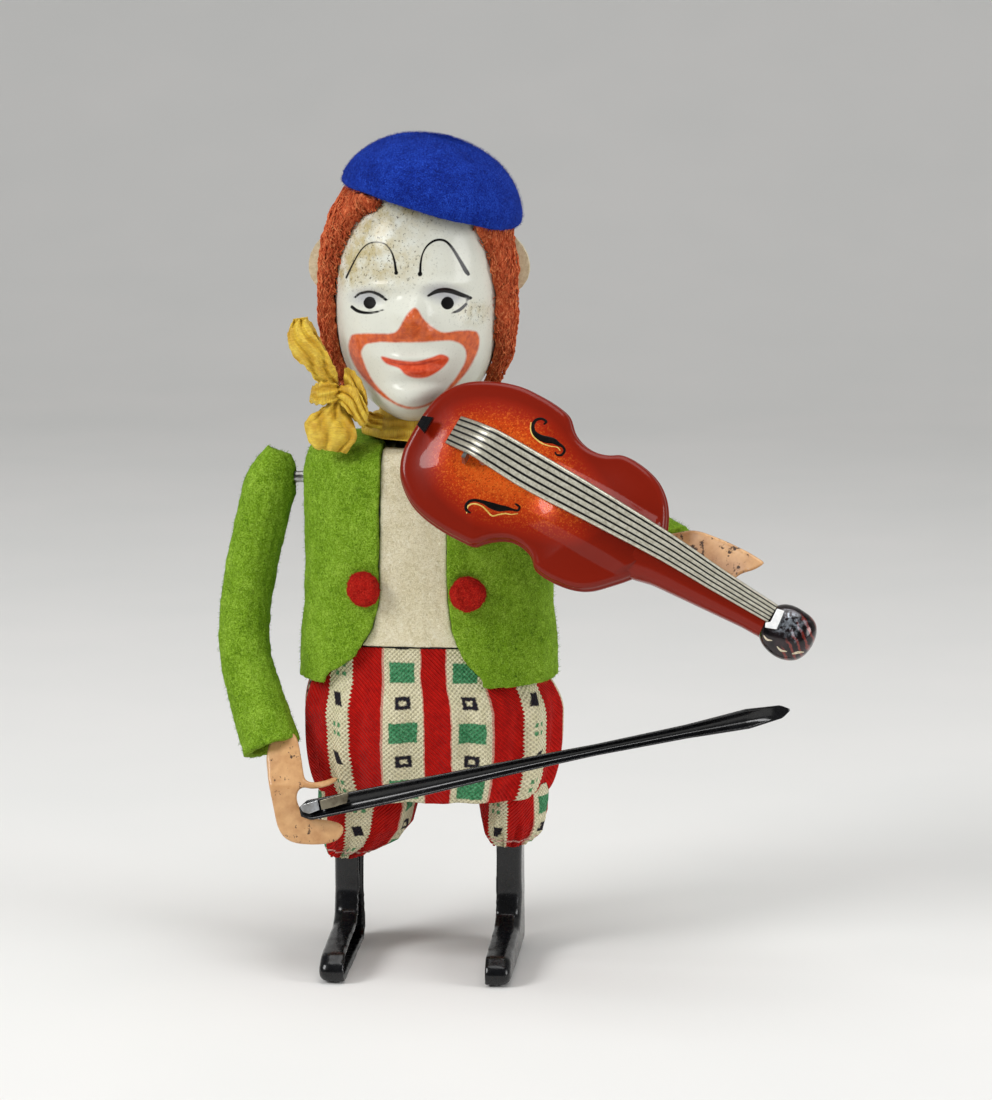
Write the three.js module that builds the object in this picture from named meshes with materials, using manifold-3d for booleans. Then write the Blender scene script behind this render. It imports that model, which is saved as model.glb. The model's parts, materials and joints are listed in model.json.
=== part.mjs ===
// A clockwork clown that plays a violin: a felt and cotton suit over a pressed tin body.
// A spring motor in the body swings the bow arm and spins a weight that shakes the figure.
// The figure stands on the floor with +Z up, looks along -Y and has its right hand at -X.
// All lengths are in millimetres.

import * as THREE from 'three';
import { mergeVertices } from 'three/addons/utils/BufferGeometryUtils.js';
import Module from 'manifold-3d';

const wasm = await Module();
wasm.setup();

// Clearances and sheet thicknesses
const fitGap = 0.3;
const runGap = 0.12;
const overrun = 2;
const tin = 0.5;
const plate = 0.6;
const felt = 1.3;
const cotton = 0.5;

// Body housing
const bodyHalfWidth = 15.6;
const bodyHalfDepth = 10.2;
const bodyBottom = 33.6;
const bodyHeight = 37;
const bodyTop = bodyBottom + bodyHeight;
const shoulderRound = 3;
const neckRadius = 4.5;
const neckShow = 5.4;
const neckSeat = 1.6;
const neckLength = neckShow + neckSeat;

// Legs
const legSideGap = 6;
const legRelief = 3.5;
const ankleHalfDepth = 3.2;
const kneeHalfDepth = 3.9;
const shoeReach = 21.5;
const shoeHeight = 4.3;
const heelReach = 4.1;
const legInnerX = bodyHalfWidth - legSideGap;

// Head
const headX = -1.4;
const headHeight = 32;
const headHalfWidth = 11.4;
const headHalfDepth = 11.2;
const headBottom = bodyTop + neckShow;
const earReach = 3.8;
const earHalfHeight = 4.8;
const earThickness = 1.2;
const earBack = 1.1;
const hairThickness = 2;

// Beret
const beretRadius = 12.6;
const beretHeight = 7.2;
const beretSkirt = 2.8;
const beretShift = 2.2;
const beretDrop = 1.6;
const beretTilt = THREE.MathUtils.degToRad(13.5);

// Suit
const jacketLength = 31.4;
const jacketFlare = 0.7;
const waistOverlap = 5.1;
const seatDrop = 16.4;
const seatFullness = 2.4;
const swellReach = 5.5;
const buttonRadius = 2.4;
const buttonThickness = 1.5;
const jacketBottom = bodyTop - jacketLength;
const waistTop = jacketBottom + waistOverlap;
const flareTop = waistTop + 2 * buttonRadius;
const seatBottom = jacketBottom - seatDrop;
const seatHalfWidth = bodyHalfWidth + seatFullness;
const seatHalfDepth = bodyHalfDepth + seatFullness;

// Trouser legs
const hemEase = 0.7;
const rightLegDrop = 9.3;
const leftLegDrop = 7.2;

// Arms
const shoulderDrop = 4.3;
const armStandOff = 4.5;
const shaftRadius = 0.8;
const leverLength = 5;
const swingDegrees = 48;
const leverRestDegrees = 30;
const sleeveRadius = 3.6;
const cuffRadius = 4.1;
const armRadius = 1.7;
const armLength = 39;
const handLength = 10;
const handThickness = 3.2;
const leftHandLength = 10;
const leftHandHeight = 8;
const leftHandThickness = 1.4;
const shoulderZ = bodyTop - shoulderDrop;

// Motor
const motorSideGap = 3.1;
const motorFrontGap = 5.9;
const motorBackGap = 5.1;
const arborRiseShare = 0.48375;
const weightRiseShare = 0.08665;
const moduleShare = 0.01805;
const fastModuleShare = 0.8;
const ratchetRadiusShare = 0.12635;
const weightRadiusShare = 0.1805;
const greatTeeth = 36;
const secondPinionTeeth = 9;
const secondTeeth = 30;
const fastPinionTeeth = 8;
const gearWidth = 1;
const arborRadius = 1.5;
const pivotRadius = 0.7;
const smallPinRadius = 0.5;
const squareSide = 2.2;
const springStrip = 0.3;
const weightDepth = 2;
const pillarRadius = 1;
const keyReach = 4.6;
const keySpan = 6.3;
const motorRoom = shoulderZ - leverLength - bodyBottom;
const mainModule = motorRoom * moduleShare;
const fastModule = mainModule * fastModuleShare;
const weightRise = motorRoom * weightRiseShare;
const weightRadius = motorRoom * weightRadiusShare;
const ratchetRadius = motorRoom * ratchetRadiusShare;
const arborZ = bodyBottom + motorRoom * arborRiseShare;

// Violin
const violinLength = 37.2;
const violinHalfWidth = 11;
const violinDepth = 3.8;
const violinArch = 0.9;
const violinNeck = 15.6;
const pegHeadLength = 7.2;
const pegHeadRadius = 3.7;
const neckHalfWidth = 2.5;
const nutHalfWidth = 1.7;
const stringRise = 2.2;
const stripThickness = 0.4;
const violinForward = 4.8;
const violinRise = 4.1;
const violinShift = 3.3;
const faceTilt = THREE.MathUtils.degToRad(20);

// Bow
const bowLength = 71.6;
const bowHalfWidth = 1.4;
const bowThickness = 0.9;

// Ribbon
const ribbonHalfWidth = 1.4;
const ribbonThickness = 0.9;
const ribbonReach = 12;

const figure = new THREE.Group();

// Shape tools

function point(x, y, z) {
  return new THREE.Vector3(x, y, z);
}

function volumeOf(points, faces) {
  let sum = 0;
  for (let f = 0; f < faces.length; f += 3) {
    const [a, b, c] = [points[faces[f]], points[faces[f + 1]], points[faces[f + 2]]];
    sum += a.dot(b.clone().cross(c));
  }
  return sum / 6;
}

// A closed mesh from points and triangles, with its faces turned outwards
function closedMesh(points, faces) {
  const outward = volumeOf(points, faces) < 0 ? [...faces].reverse() : faces;
  const geometry = new THREE.BufferGeometry().setFromPoints(points);
  geometry.setIndex(outward);
  return geometry;
}

// A skin over rings of equal count: its ends are closed by fans, or joined where it loops
function skin(rings, loop = false) {
  const count = rings[0].length;
  const points = rings.flat();
  const faces = [];
  const bands = loop ? rings.length : rings.length - 1;
  for (let r = 0; r < bands; r += 1) {
    const near = r * count;
    const far = ((r + 1) % rings.length) * count;
    for (let k = 0; k < count; k += 1) {
      const next = (k + 1) % count;
      faces.push(near + k, near + next, far + next, near + k, far + next, far + k);
    }
  }
  if (!loop) {
    const last = (rings.length - 1) * count;
    const startPole = points.push(middleOf(rings[0])) - 1;
    const endPole = points.push(middleOf(rings[rings.length - 1])) - 1;
    for (let k = 0; k < count; k += 1) {
      const next = (k + 1) % count;
      faces.push(startPole, next, k, endPole, last + k, last + next);
    }
  }
  return closedMesh(points, faces);
}

function middleOf(ring) {
  const sum = point(0, 0, 0);
  ring.forEach((p) => sum.add(p));
  return sum.divideScalar(ring.length);
}

function toSolid(geometry) {
  const bare = geometry.clone();
  bare.deleteAttribute('normal');
  bare.deleteAttribute('uv');
  const merged = mergeVertices(bare);
  const vertProperties = new Float32Array(merged.attributes.position.array);
  const triVerts = new Uint32Array(merged.index.array);
  return new wasm.Manifold(new wasm.Mesh({ numProp: 3, vertProperties, triVerts }));
}

function toGeometry(solid) {
  const mesh = solid.getMesh();
  const geometry = new THREE.BufferGeometry();
  geometry.setAttribute('position', new THREE.BufferAttribute(mesh.vertProperties, mesh.numProp));
  geometry.setIndex(new THREE.BufferAttribute(mesh.triVerts, 1));
  return geometry;
}

function cut(geometry, ...tools) {
  return toGeometry(tools.reduce((solid, tool) => solid.subtract(toSolid(tool)), toSolid(geometry)));
}

function join(geometry, ...others) {
  return toGeometry(others.reduce((solid, other) => solid.add(toSolid(other)), toSolid(geometry)));
}

function keep(geometry, ...tools) {
  return toGeometry(tools.reduce((solid, tool) => solid.intersect(toSolid(tool)), toSolid(geometry)));
}

function polygon(points, holes = []) {
  const shape = new THREE.Shape(points.map(([a, b]) => new THREE.Vector2(a, b)));
  shape.holes = holes.map((hole) => new THREE.Path(hole.map(([a, b]) => new THREE.Vector2(a, b))));
  return shape;
}

function circle(radius, count, x = 0, y = 0, turn = 0) {
  return Array.from({ length: count }, (_, k) => {
    const angle = turn + (2 * Math.PI * k) / count;
    return [x + radius * Math.cos(angle), y + radius * Math.sin(angle)];
  });
}

function rectangle(lowA, highA, lowB, highB) {
  return [[lowA, lowB], [highA, lowB], [highA, highB], [lowA, highB]];
}

function extrude(shape, depth) {
  return new THREE.ExtrudeGeometry(shape, { depth, bevelEnabled: false });
}

// A shape drawn in X and Z, extruded along Y
function alongY(shape, fromY, toY) {
  return extrude(shape, toY - fromY).rotateX(Math.PI / 2).translate(0, toY, 0);
}

// A shape drawn in Y and Z, extruded along X
function alongX(shape, fromX, toX) {
  const turn = new THREE.Matrix4().set(0, 0, 1, 0, 1, 0, 0, 0, 0, 1, 0, 0, 0, 0, 0, 1);
  return extrude(shape, toX - fromX).applyMatrix4(turn).translate(fromX, 0, 0);
}

// A shape drawn in X and Y, extruded along Z
function alongZ(shape, fromZ, toZ) {
  return extrude(shape, toZ - fromZ).translate(0, 0, fromZ);
}

function rodY(radius, fromY, toY, x, z, count = 12) {
  return alongY(polygon(circle(radius, count, x, z)), fromY, toY);
}

function rodX(radius, fromX, toX, y, z, count = 12) {
  return alongX(polygon(circle(radius, count, y, z)), fromX, toX);
}

// A profile of radius and height, turned about the Y axis or the Z axis
function latheY(profile, count) {
  return new THREE.LatheGeometry(profile.map(([r, h]) => new THREE.Vector2(r, h)), count);
}

function latheZ(profile, count) {
  return latheY(profile, count).rotateX(Math.PI / 2);
}

function block(lowX, highX, lowY, highY, lowZ, highZ) {
  return alongZ(polygon(rectangle(lowX, highX, lowY, highY)), lowZ, highZ);
}

function signedPower(value, power) {
  return Math.sign(value) * Math.abs(value) ** power;
}

// A ring at one height, between an ellipse and a rectangle in plan
function oval(halfX, halfY, z, count, power = bodyPower, x = 0, y = 0) {
  return Array.from({ length: count }, (_, k) => {
    const angle = (2 * Math.PI * k) / count;
    const across = halfX * signedPower(Math.cos(angle), 2 / power);
    const along = halfY * signedPower(Math.sin(angle), 2 / power);
    return point(x + across, y + along, z);
  });
}

function paint(colour, roughness, metalness = 0) {
  return new THREE.MeshStandardMaterial({ color: colour, roughness, metalness, flatShading: true });
}

const looks = {
  steel: paint(0x9a9a98, 0.35, 1),
  brass: paint(0xb08d4a, 0.35, 1),
  black: paint(0x16171a, 0.3),
  flesh: paint(0xd9a36c, 0.4),
  white: paint(0xe9e9e2, 0.25),
  violin: paint(0x7a1f12, 0.2),
  jacket: paint(0x6f9e1f, 0.95),
  shirt: paint(0xe4dfc6, 0.95),
  red: paint(0xb01016, 0.9),
  blue: paint(0x1d3aa0, 0.95),
  hair: paint(0x7a2e1a, 0.95),
  ribbon: paint(0xd4a634, 0.6),
};

function add(name, geometry, look, parent = figure) {
  const mesh = new THREE.Mesh(geometry, look);
  mesh.name = name;
  parent.add(mesh);
  return mesh;
}

// Body housing

const housingCount = 28;
const roundSteps = 3;
const bodyPower = 2.5;
const coatNeckShare = 1.6;

// A coat over the body: straight sides, rounded shoulders, a flat top and a neck hole.
// The gap is how far its inner face stands off the housing, the flare how far its hem stands out.
function coat(gap, wall, bottom, neckHole, flare = 0) {
  const inner = coatSurface(gap, bottom, neckHole, flare);
  const outer = coatSurface(gap + wall, bottom, neckHole, flare);
  return skin([...outer, ...inner.reverse()], true);
}

function coatSurface(offset, bottom, neckHole, flare) {
  const rings = [];
  const start = bodyTop - shoulderRound;
  const levels = flare > 0 ? [bottom, waistTop + cotton, flareTop, start] : [bottom, start];
  levels.forEach((z) => {
    const out = offset + flare * THREE.MathUtils.clamp((flareTop - z) / (flareTop - waistTop), 0, 1);
    rings.push(oval(bodyHalfWidth + out, bodyHalfDepth + out, z, housingCount));
  });
  for (let s = 1; s <= roundSteps; s += 1) {
    const angle = (Math.PI / 2) * (s / roundSteps);
    const inset = shoulderRound * (1 - Math.cos(angle)) - offset;
    const rise = (shoulderRound + offset) * Math.sin(angle);
    rings.push(oval(bodyHalfWidth - inset, bodyHalfDepth - inset, start + rise, housingCount));
  }
  rings.push(oval(neckHole, neckHole, bodyTop + offset, housingCount, 2));
  return rings;
}

// Holes for the key, the arm shaft and the stud, grown by a share where a cloth lies outside
function bodyHoles(growShare) {
  const far = 2 * bodyHalfWidth;
  const small = (shaftRadius + fitGap) * growShare;
  return [
    rodY((squareSide + 2 * fitGap) * growShare, 0, far, 0, arborZ, 20),
    rodX(small, -far, 0, 0, shoulderZ),
    rodX(small, 0, far, 0, shoulderZ),
  ];
}

function makeBodyShell() {
  const shell = coat(-tin, tin, bodyBottom, neckRadius + fitGap);
  add('body_shell', cut(shell, ...bodyHoles(1)), looks.steel);
}

function makeBasePlate() {
  const rim = oval(bodyHalfWidth, bodyHalfDepth, 0, housingCount).map((p) => [p.x, p.y]);
  add('base_plate', alongZ(polygon(rim), bodyBottom - plate, bodyBottom), looks.steel);
}

function makeNeckTube() {
  const flange = neckRadius * 1.5;
  const flangeLow = bodyTop - tin - plate;
  const flangeHigh = bodyTop - tin;
  const top = bodyTop + neckLength;
  const profile = [
    [neckRadius - tin, flangeLow],
    [flange, flangeLow],
    [flange, flangeHigh],
    [neckRadius, flangeHigh],
    [neckRadius, top],
    [neckRadius - tin, top],
    [neckRadius - tin, flangeLow],
  ];
  add('neck_tube', latheZ(profile, 20), looks.steel);
}

// Legs: pressed half shells with a shoe, open on the inner side

const toeRoundShare = 0.5;

function legOutline() {
  const top = bodyBottom - plate;
  const toeRound = shoeHeight * toeRoundShare;
  const toe = -shoeReach;
  return [
    [kneeHalfDepth, top],
    [-kneeHalfDepth, top],
    [-ankleHalfDepth, shoeHeight * 2],
    [-ankleHalfDepth * 1.25, shoeHeight * 1.35],
    [-ankleHalfDepth * 1.9, shoeHeight * 1.08],
    [toe * 0.6, shoeHeight],
    [toe + toeRound, shoeHeight * 0.9],
    [toe + toeRound * 0.25, shoeHeight * 0.62],
    [toe, shoeHeight * 0.35],
    [toe + toeRound * 0.3, shoeHeight * 0.08],
    [toe + toeRound, 0],
    [heelReach - shoeHeight * 0.3, 0],
    [heelReach, shoeHeight * 0.3],
    [heelReach, shoeHeight * 0.8],
    [ankleHalfDepth, shoeHeight * 1.7],
  ];
}

function reliefSolid(outline, relief, inset, round) {
  const settings = {
    depth: 2 * (relief - round),
    bevelThickness: round - inset,
    bevelSize: round - inset,
    bevelOffset: -round,
    bevelSegments: 3,
  };
  return new THREE.ExtrudeGeometry(polygon(outline), settings).translate(0, 0, round - relief);
}

function makeLeg(name, side) {
  const roundShare = 0.32;
  const round = legRelief * roundShare;
  const outer = reliefSolid(legOutline(), legRelief, 0, round);
  const inner = reliefSolid(legOutline(), legRelief, tin, round);
  const reach = shoeReach * 2;
  const half = block(-reach, reach, -overrun, bodyBottom + overrun, -legRelief - overrun, 0);
  const shell = cut(outer, inner, half);
  const turn = new THREE.Matrix4().set(0, 0, side, 0, 1, 0, 0, 0, 0, 1, 0, 0, 0, 0, 0, 1);
  const placed = shell.applyMatrix4(turn).translate(side * legInnerX, 0, 0);
  add(name, side > 0 ? placed : flipped(placed), looks.black);
}

function flipped(geometry) {
  const faces = Array.from(geometry.index.array).reverse();
  geometry.setIndex(faces);
  return geometry;
}

// Head: a front and a back half shell with pressed features and two flat ears

const headCount = 32;
const headLevels = 17;
const linerCount = 22;
const linerLevels = 12;
const headPower = 2.5;
const headMiddle = headBottom + headHeight / 2;
const earRootShare = 0.86;
const earPlaceShare = 0.606;
const earMiddle = headBottom + headHeight * earPlaceShare;
const earSpan = headHalfWidth + earReach;

// Place across, place up, spread across, spread up and height of each pressed form of the face,
// as shares of the head's half width, height, half width, height and half depth
const faceReliefShares = [
  [0, 0.445, 0.14, 0.045, 0.2],
  [0, 0.26, 0.3, 0.035, 0.07],
  [0, 0.12, 0.26, 0.05, 0.1],
  [-0.52, 0.34, 0.22, 0.07, 0.05],
  [0.52, 0.34, 0.22, 0.07, 0.05],
  [-0.42, 0.51, 0.2, 0.04, -0.06],
  [0.42, 0.51, 0.2, 0.04, -0.06],
];

function faceRelief(x, z) {
  return faceReliefShares.reduce((sum, [placeX, placeZ, spreadX, spreadZ, height]) => {
    const across = (x / headHalfWidth - placeX) / spreadX;
    const up = ((z - headBottom) / headHeight - placeZ) / spreadZ;
    return sum + height * headHalfDepth * Math.exp(-(across * across + up * up) / 2);
  }, 0);
}

// The head as a closed form, grown by an offset; its points lie closer on the face
function headForm(offset, count = headCount, levels = headLevels, withFace = true) {
  const crowdShare = 0.28;
  const rings = [];
  for (let level = 1; level < levels; level += 1) {
    const angle = Math.PI * (level / levels - 0.5);
    const rise = (headHeight / 2 + offset) * signedPower(Math.sin(angle), 2 / headPower);
    const share = Math.cos(angle) ** (2 / headPower);
    const z = headMiddle + rise;
    rings.push(Array.from({ length: count }, (_, k) => {
      const even = (2 * Math.PI * k) / count;
      const turn = even + crowdShare * Math.cos(even);
      const x = share * (headHalfWidth + offset) * Math.cos(turn);
      const y = share * (headHalfDepth + offset) * Math.sin(turn);
      const relief = withFace && y < 0 ? faceRelief(x, z) * share * Math.abs(Math.sin(turn)) : 0;
      return point(headX + x, y - relief, z);
    }));
  }
  return skin(rings);
}

function makeHead() {
  const tall = headBottom + headHeight * 2;
  const wide = earSpan * 2;
  const liner = headForm(-tin, linerCount, linerLevels, false);
  const shell = cut(headForm(0), liner);
  const rear = cut(headForm(0, headCount * 0.75, linerLevels, false), liner);
  const neckHole = alongZ(polygon(circle(neckRadius + fitGap, 20)), 0, bodyTop + neckLength + fitGap);
  const front = block(-wide, wide, -wide, -fitGap / 2, 0, tall);
  const back = block(-wide, wide, fitGap / 2, wide, 0, tall);
  const ears = [-1, 1].map((side) => earForm(side, 0));
  add('head_front', cut(keep(shell, front), neckHole), looks.white);
  add('head_back', cut(join(keep(rear, back), ...ears), neckHole, liner), looks.white);
}

function earForm(side, grow) {
  const steps = 13;
  const rootX = headHalfWidth * earRootShare;
  const reach = earSpan - rootX + grow;
  const outline = Array.from({ length: steps + 1 }, (_, k) => {
    const angle = Math.PI * (k / steps - 0.5);
    const lobeShare = 1 - 0.12 * Math.sin(angle);
    return [
      headX + side * (rootX + reach * Math.cos(angle)),
      earMiddle + ((earHalfHeight + grow) * Math.sin(angle)) / lobeShare,
    ];
  });
  return alongY(polygon(outline), earBack - grow, earBack + earThickness + grow);
}

// Hair: a wool band over the sides and back of the head, with a strip in front of each ear

// Edge of the wool from the hat to the nape: place forward and place up, as shares of the head's
// half depth and height
const hairEdgeShares = [
  [-0.75, 1], [-0.42, 0.64], [-0.3, 0.33], [-0.05, 0.07], [0.12, 0.2], [0.3, 0.24],
];

function makeHair() {
  const wide = earSpan * 2;
  const reach = headHalfDepth * 2;
  const edge = hairEdgeShares.map(([along, up]) => [headHalfDepth * along, headBottom + headHeight * up]);
  const nape = edge[edge.length - 1][1];
  const bare = polygon([...edge, [reach, nape], [reach, 0], [-reach, 0], [-reach, headBottom + headHeight]]);
  const wool = cut(
    headForm(hairThickness, 28, 13, false),
    headForm(fitGap, linerCount, linerLevels, false),
    alongX(bare, -wide, wide),
    ...[-1, 1].map((side) => earForm(side, fitGap)),
    placeBeret(beretOuter(fitGap)),
  );
  add('hair', wool, looks.hair);
}

// Beret: a soft disc pulled down to the figure's left

// Radius and height of the crown over its widest ring, as shares of the beret's radius and height
const beretCrownShares = [[0.97, 0.3], [0.87, 0.58], [0.68, 0.82], [0.36, 0.97], [0, 1]];
const beretRimShare = 0.84;

function beretOuter(grow) {
  const radius = beretRadius + grow;
  const top = beretHeight + grow;
  const low = -beretSkirt - grow;
  const crown = beretCrownShares.map(([out, up]) => [radius * out, top * up]);
  const rim = [[0, low], [radius * beretRimShare, low], [radius * 0.96, low * 0.62], [radius, 0]];
  return latheZ([...rim, ...crown], 24);
}

function placeBeret(geometry) {
  const middleZ = headBottom + headHeight - beretDrop;
  return geometry.rotateY(beretTilt).translate(headX + beretShift, 0, middleZ);
}

function makeBeret() {
  const cap = placeBeret(beretOuter(0));
  add('beret', cut(cap, headForm(fitGap, linerCount, linerLevels, false)), looks.blue);
}

// Jacket, shirt front and buttons

// Edge of the jacket's opening from hem to neck: place out, as a share of the opening's half width
// on that side, and place up, as a share of the jacket's length
const openingEdgeShares = [
  [2.38, -0.07], [2.3, 0.035], [1.6, 0.127], [1.16, 0.255], [1, 0.382], [0.94, 1.2],
];
const openingRightShare = 0.37;
const openingLeftShare = 0.235;

function openingOutline(inset) {
  const halves = [-bodyHalfWidth * openingRightShare + inset, bodyHalfWidth * openingLeftShare - inset];
  const [right, left] = halves.map((half) => (
    openingEdgeShares.map(([out, up]) => [half * out, jacketBottom + jacketLength * up])
  ));
  return [...right, ...left.reverse()];
}

function makeJacket() {
  const shell = coat(fitGap, felt, jacketBottom, neckRadius * coatNeckShare, jacketFlare);
  const front = alongY(polygon(openingOutline(0)), -bodyHalfDepth * 2, 0);
  add('jacket', cut(shell, front, ...bodyHoles(1.15)), looks.jacket);
}

function makeShirt() {
  const band = coat(fitGap, felt / 2, waistTop + cotton, neckRadius * coatNeckShare);
  const front = alongY(polygon(openingOutline(fitGap)), -bodyHalfDepth * 2, -bodyHalfDepth / 2);
  add('shirt_front', keep(band, front), looks.shirt);
}

// Places of the buttons: out and up, as shares of the body's half width and the jacket's length
const buttonPlaceShares = { right_button: [-0.487, 0.436], left_button: [0.41, 0.424] };

function makeButton(name) {
  const [outShare, upShare] = buttonPlaceShares[name];
  const x = bodyHalfWidth * outShare;
  const z = jacketBottom + jacketLength * upShare;
  const offset = fitGap + felt;
  const share = Math.abs(x) / (bodyHalfWidth + offset);
  const y = -(bodyHalfDepth + offset) * (1 - share ** bodyPower) ** (1 / bodyPower);
  const depthShare = (bodyHalfDepth + offset) / (bodyHalfWidth + offset);
  const slope = (Math.sign(x) * depthShare * share ** (bodyPower - 1)) / (1 - share ** bodyPower) ** 0.6;
  const profile = [
    [0, 0],
    [buttonRadius, 0],
    [buttonRadius, buttonThickness * 0.6],
    [buttonRadius * 0.75, buttonThickness],
    [0, buttonThickness],
  ];
  const button = add(name, latheY(profile, 16), looks.red);
  button.rotation.set(0, 0, Math.PI + Math.atan(slope));
  button.position.set(x, y - fitGap, z);
}

// Trousers: a seat and two gathered legs of striped cotton

const trouserCount = 30;
const seatFolds = 5;
const seatShiftShare = 0.028;
const seatFoldShare = 0.02;
const seatLevelShares = [1, 0.78, 0.66, 0.5, 0.25, 0.1, 0];

function seatRing(z, grow) {
  const drop = THREE.MathUtils.clamp((waistTop - z) / (waistTop - seatBottom), 0, 1);
  const below = THREE.MathUtils.clamp((jacketBottom + cotton - z) / swellReach, 0, 1);
  const swell = Math.sin((below * Math.PI) / 2);
  const waistX = bodyHalfWidth + fitGap / 3;
  const waistY = bodyHalfDepth + fitGap / 3;
  const round = drop > 0.8 ? 1 - 6.4 * (drop - 0.8) ** 2 : 1;
  const halfX = (waistX + (seatHalfWidth - waistX - cotton) * swell) * round + grow;
  const halfY = (waistY + (seatHalfDepth - waistY - cotton) * swell) * round + grow;
  const shift = seatHalfWidth * seatShiftShare * swell;
  return oval(halfX, halfY, z, trouserCount, bodyPower, shift).map((p, k) => {
    const wave = 1 + seatFoldShare * swell * (1 + Math.cos((2 * Math.PI * seatFolds * k) / trouserCount));
    return point(p.x * wave, p.y * wave, z);
  });
}

function makeTrousersSeat() {
  const span = waistTop - seatBottom;
  const outer = skin(seatLevelShares.map((share) => seatRing(seatBottom + span * share, cotton)));
  const innerBottom = seatBottom + cotton * 2;
  const inner = skin(seatLevelShares.map((share) => seatRing(innerBottom + span * share, 0)));
  const openings = Object.values(trouserLegs).map((leg) => {
    const [halfX, halfY] = [leg.topHalfX - cotton * 2, leg.topHalfY - cotton * 2];
    const ring = oval(halfX, halfY, 0, 24, legPower, leg.topX);
    return alongZ(polygon(ring.map((p) => [p.x, p.y])), seatBottom - overrun, innerBottom + overrun);
  });
  add('trousers_seat', cut(outer, inner, ...openings), looks.red);
}

const trouserLegs = {
  right_trouser_leg: {
    topX: -seatHalfWidth * 0.478,
    topHalfX: seatHalfWidth * 0.383,
    topHalfY: seatHalfDepth * 0.651,
    hemX: -legInnerX - legRelief / 2,
    hemZ: seatBottom - rightLegDrop,
  },
  left_trouser_leg: {
    topX: seatHalfWidth * 0.661,
    topHalfX: seatHalfWidth * 0.272,
    topHalfY: seatHalfDepth * 0.603,
    hemX: legInnerX + legRelief / 2,
    hemZ: seatBottom - leftLegDrop,
  },
};
const hemHalfX = legRelief / 2 + hemEase + cotton;
const hemHalfY = kneeHalfDepth + hemEase + cotton;
const legFolds = 5;
const legCount = 20;
const legPower = 2.2;
const legFoldShare = 0.06;

// Place down a trouser leg, and how much of its top width is left there, as shares
const legWidthShares = [[0, 1], [0.3, 1.02], [0.6, 0.84], [0.82, 0.5], [0.94, 0.1], [1, 0]];

function trouserLegRings(leg, grow) {
  const top = seatBottom - fitGap;
  return legWidthShares.map(([share, wide]) => {
    const halfX = hemHalfX + (leg.topHalfX - hemHalfX) * wide + grow;
    const halfY = hemHalfY + (leg.topHalfY - hemHalfY) * wide + grow;
    const x = leg.hemX + (leg.topX - leg.hemX) * wide;
    const z = top + (leg.hemZ - top) * share;
    const fold = legFoldShare * Math.sin(Math.PI * share);
    return oval(halfX, halfY, z, legCount, legPower, x).map((p, k) => {
      const wave = 1 + fold * Math.cos((2 * Math.PI * legFolds * k) / legCount);
      return point(x + (p.x - x) * wave, p.y * wave, z);
    });
  });
}

function makeTrouserLeg(name) {
  const outer = trouserLegRings(trouserLegs[name], 0);
  const inner = trouserLegRings(trouserLegs[name], -cotton).reverse();
  add(name, skin([...outer, ...inner], true), looks.red);
}

// Sleeves and arms

// A tube of round sections along a curve, with a radius at each step
function tubeRings(points, radii, steps, count) {
  const curve = new THREE.CatmullRomCurve3(points);
  const reach = new THREE.CatmullRomCurve3(radii.map((r, k) => point(r, k, 0)));
  return Array.from({ length: steps + 1 }, (_, s) => {
    const share = s / steps;
    const centre = curve.getPoint(share);
    const along = curve.getTangent(share);
    const across = point(0, 1, 0).cross(along).normalize();
    const rise = along.clone().cross(across);
    const radius = reach.getPoint(share).x;
    return Array.from({ length: count }, (_, k) => {
      const angle = (2 * Math.PI * k) / count;
      const side = across.clone().multiplyScalar(radius * Math.cos(angle));
      return centre.clone().add(side).addScaledVector(rise, radius * Math.sin(angle));
    });
  });
}

function tube(points, radii, steps, count) {
  return skin(tubeRings(points, radii, steps, count));
}

// A sleeve closed at the shoulder and open at the cuff
function sleeve(points, radii, steps) {
  const outer = tubeRings(points, radii, steps, 14);
  const inner = tubeRings(points, radii.map((r) => r - felt), steps, 14);
  return skin([...outer, ...inner.slice(1).reverse()]);
}

function placesFrom(origin, length, shares) {
  return shares.map(([x, y, z]) => origin.clone().add(point(x, y, z).multiplyScalar(length)));
}

const jacketSide = bodyHalfWidth + fitGap + felt;
const rightShoulder = point(-jacketSide - armStandOff, 0, shoulderZ);
const leftShoulder = point(jacketSide, 0, shoulderZ);

// Places along the bow arm from the shoulder to the wrist, as shares of its length
const armPathShares = [
  [0, 0, 0], [-0.056, -0.021, -0.238], [-0.092, -0.056, -0.456], [-0.087, -0.11, -0.623],
  [-0.038, -0.172, -0.767], [0.023, -0.236, -0.931], [0.041, -0.297, -0.997],
];
const bowArmPath = placesFrom(rightShoulder, armLength, armPathShares);
const wrist = bowArmPath[bowArmPath.length - 1];
const wristSinkShare = 0.12;
const handFrontY = wrist.y - handThickness * (1 - wristSinkShare);
const shoulderSleeveShare = 0.72;

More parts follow.
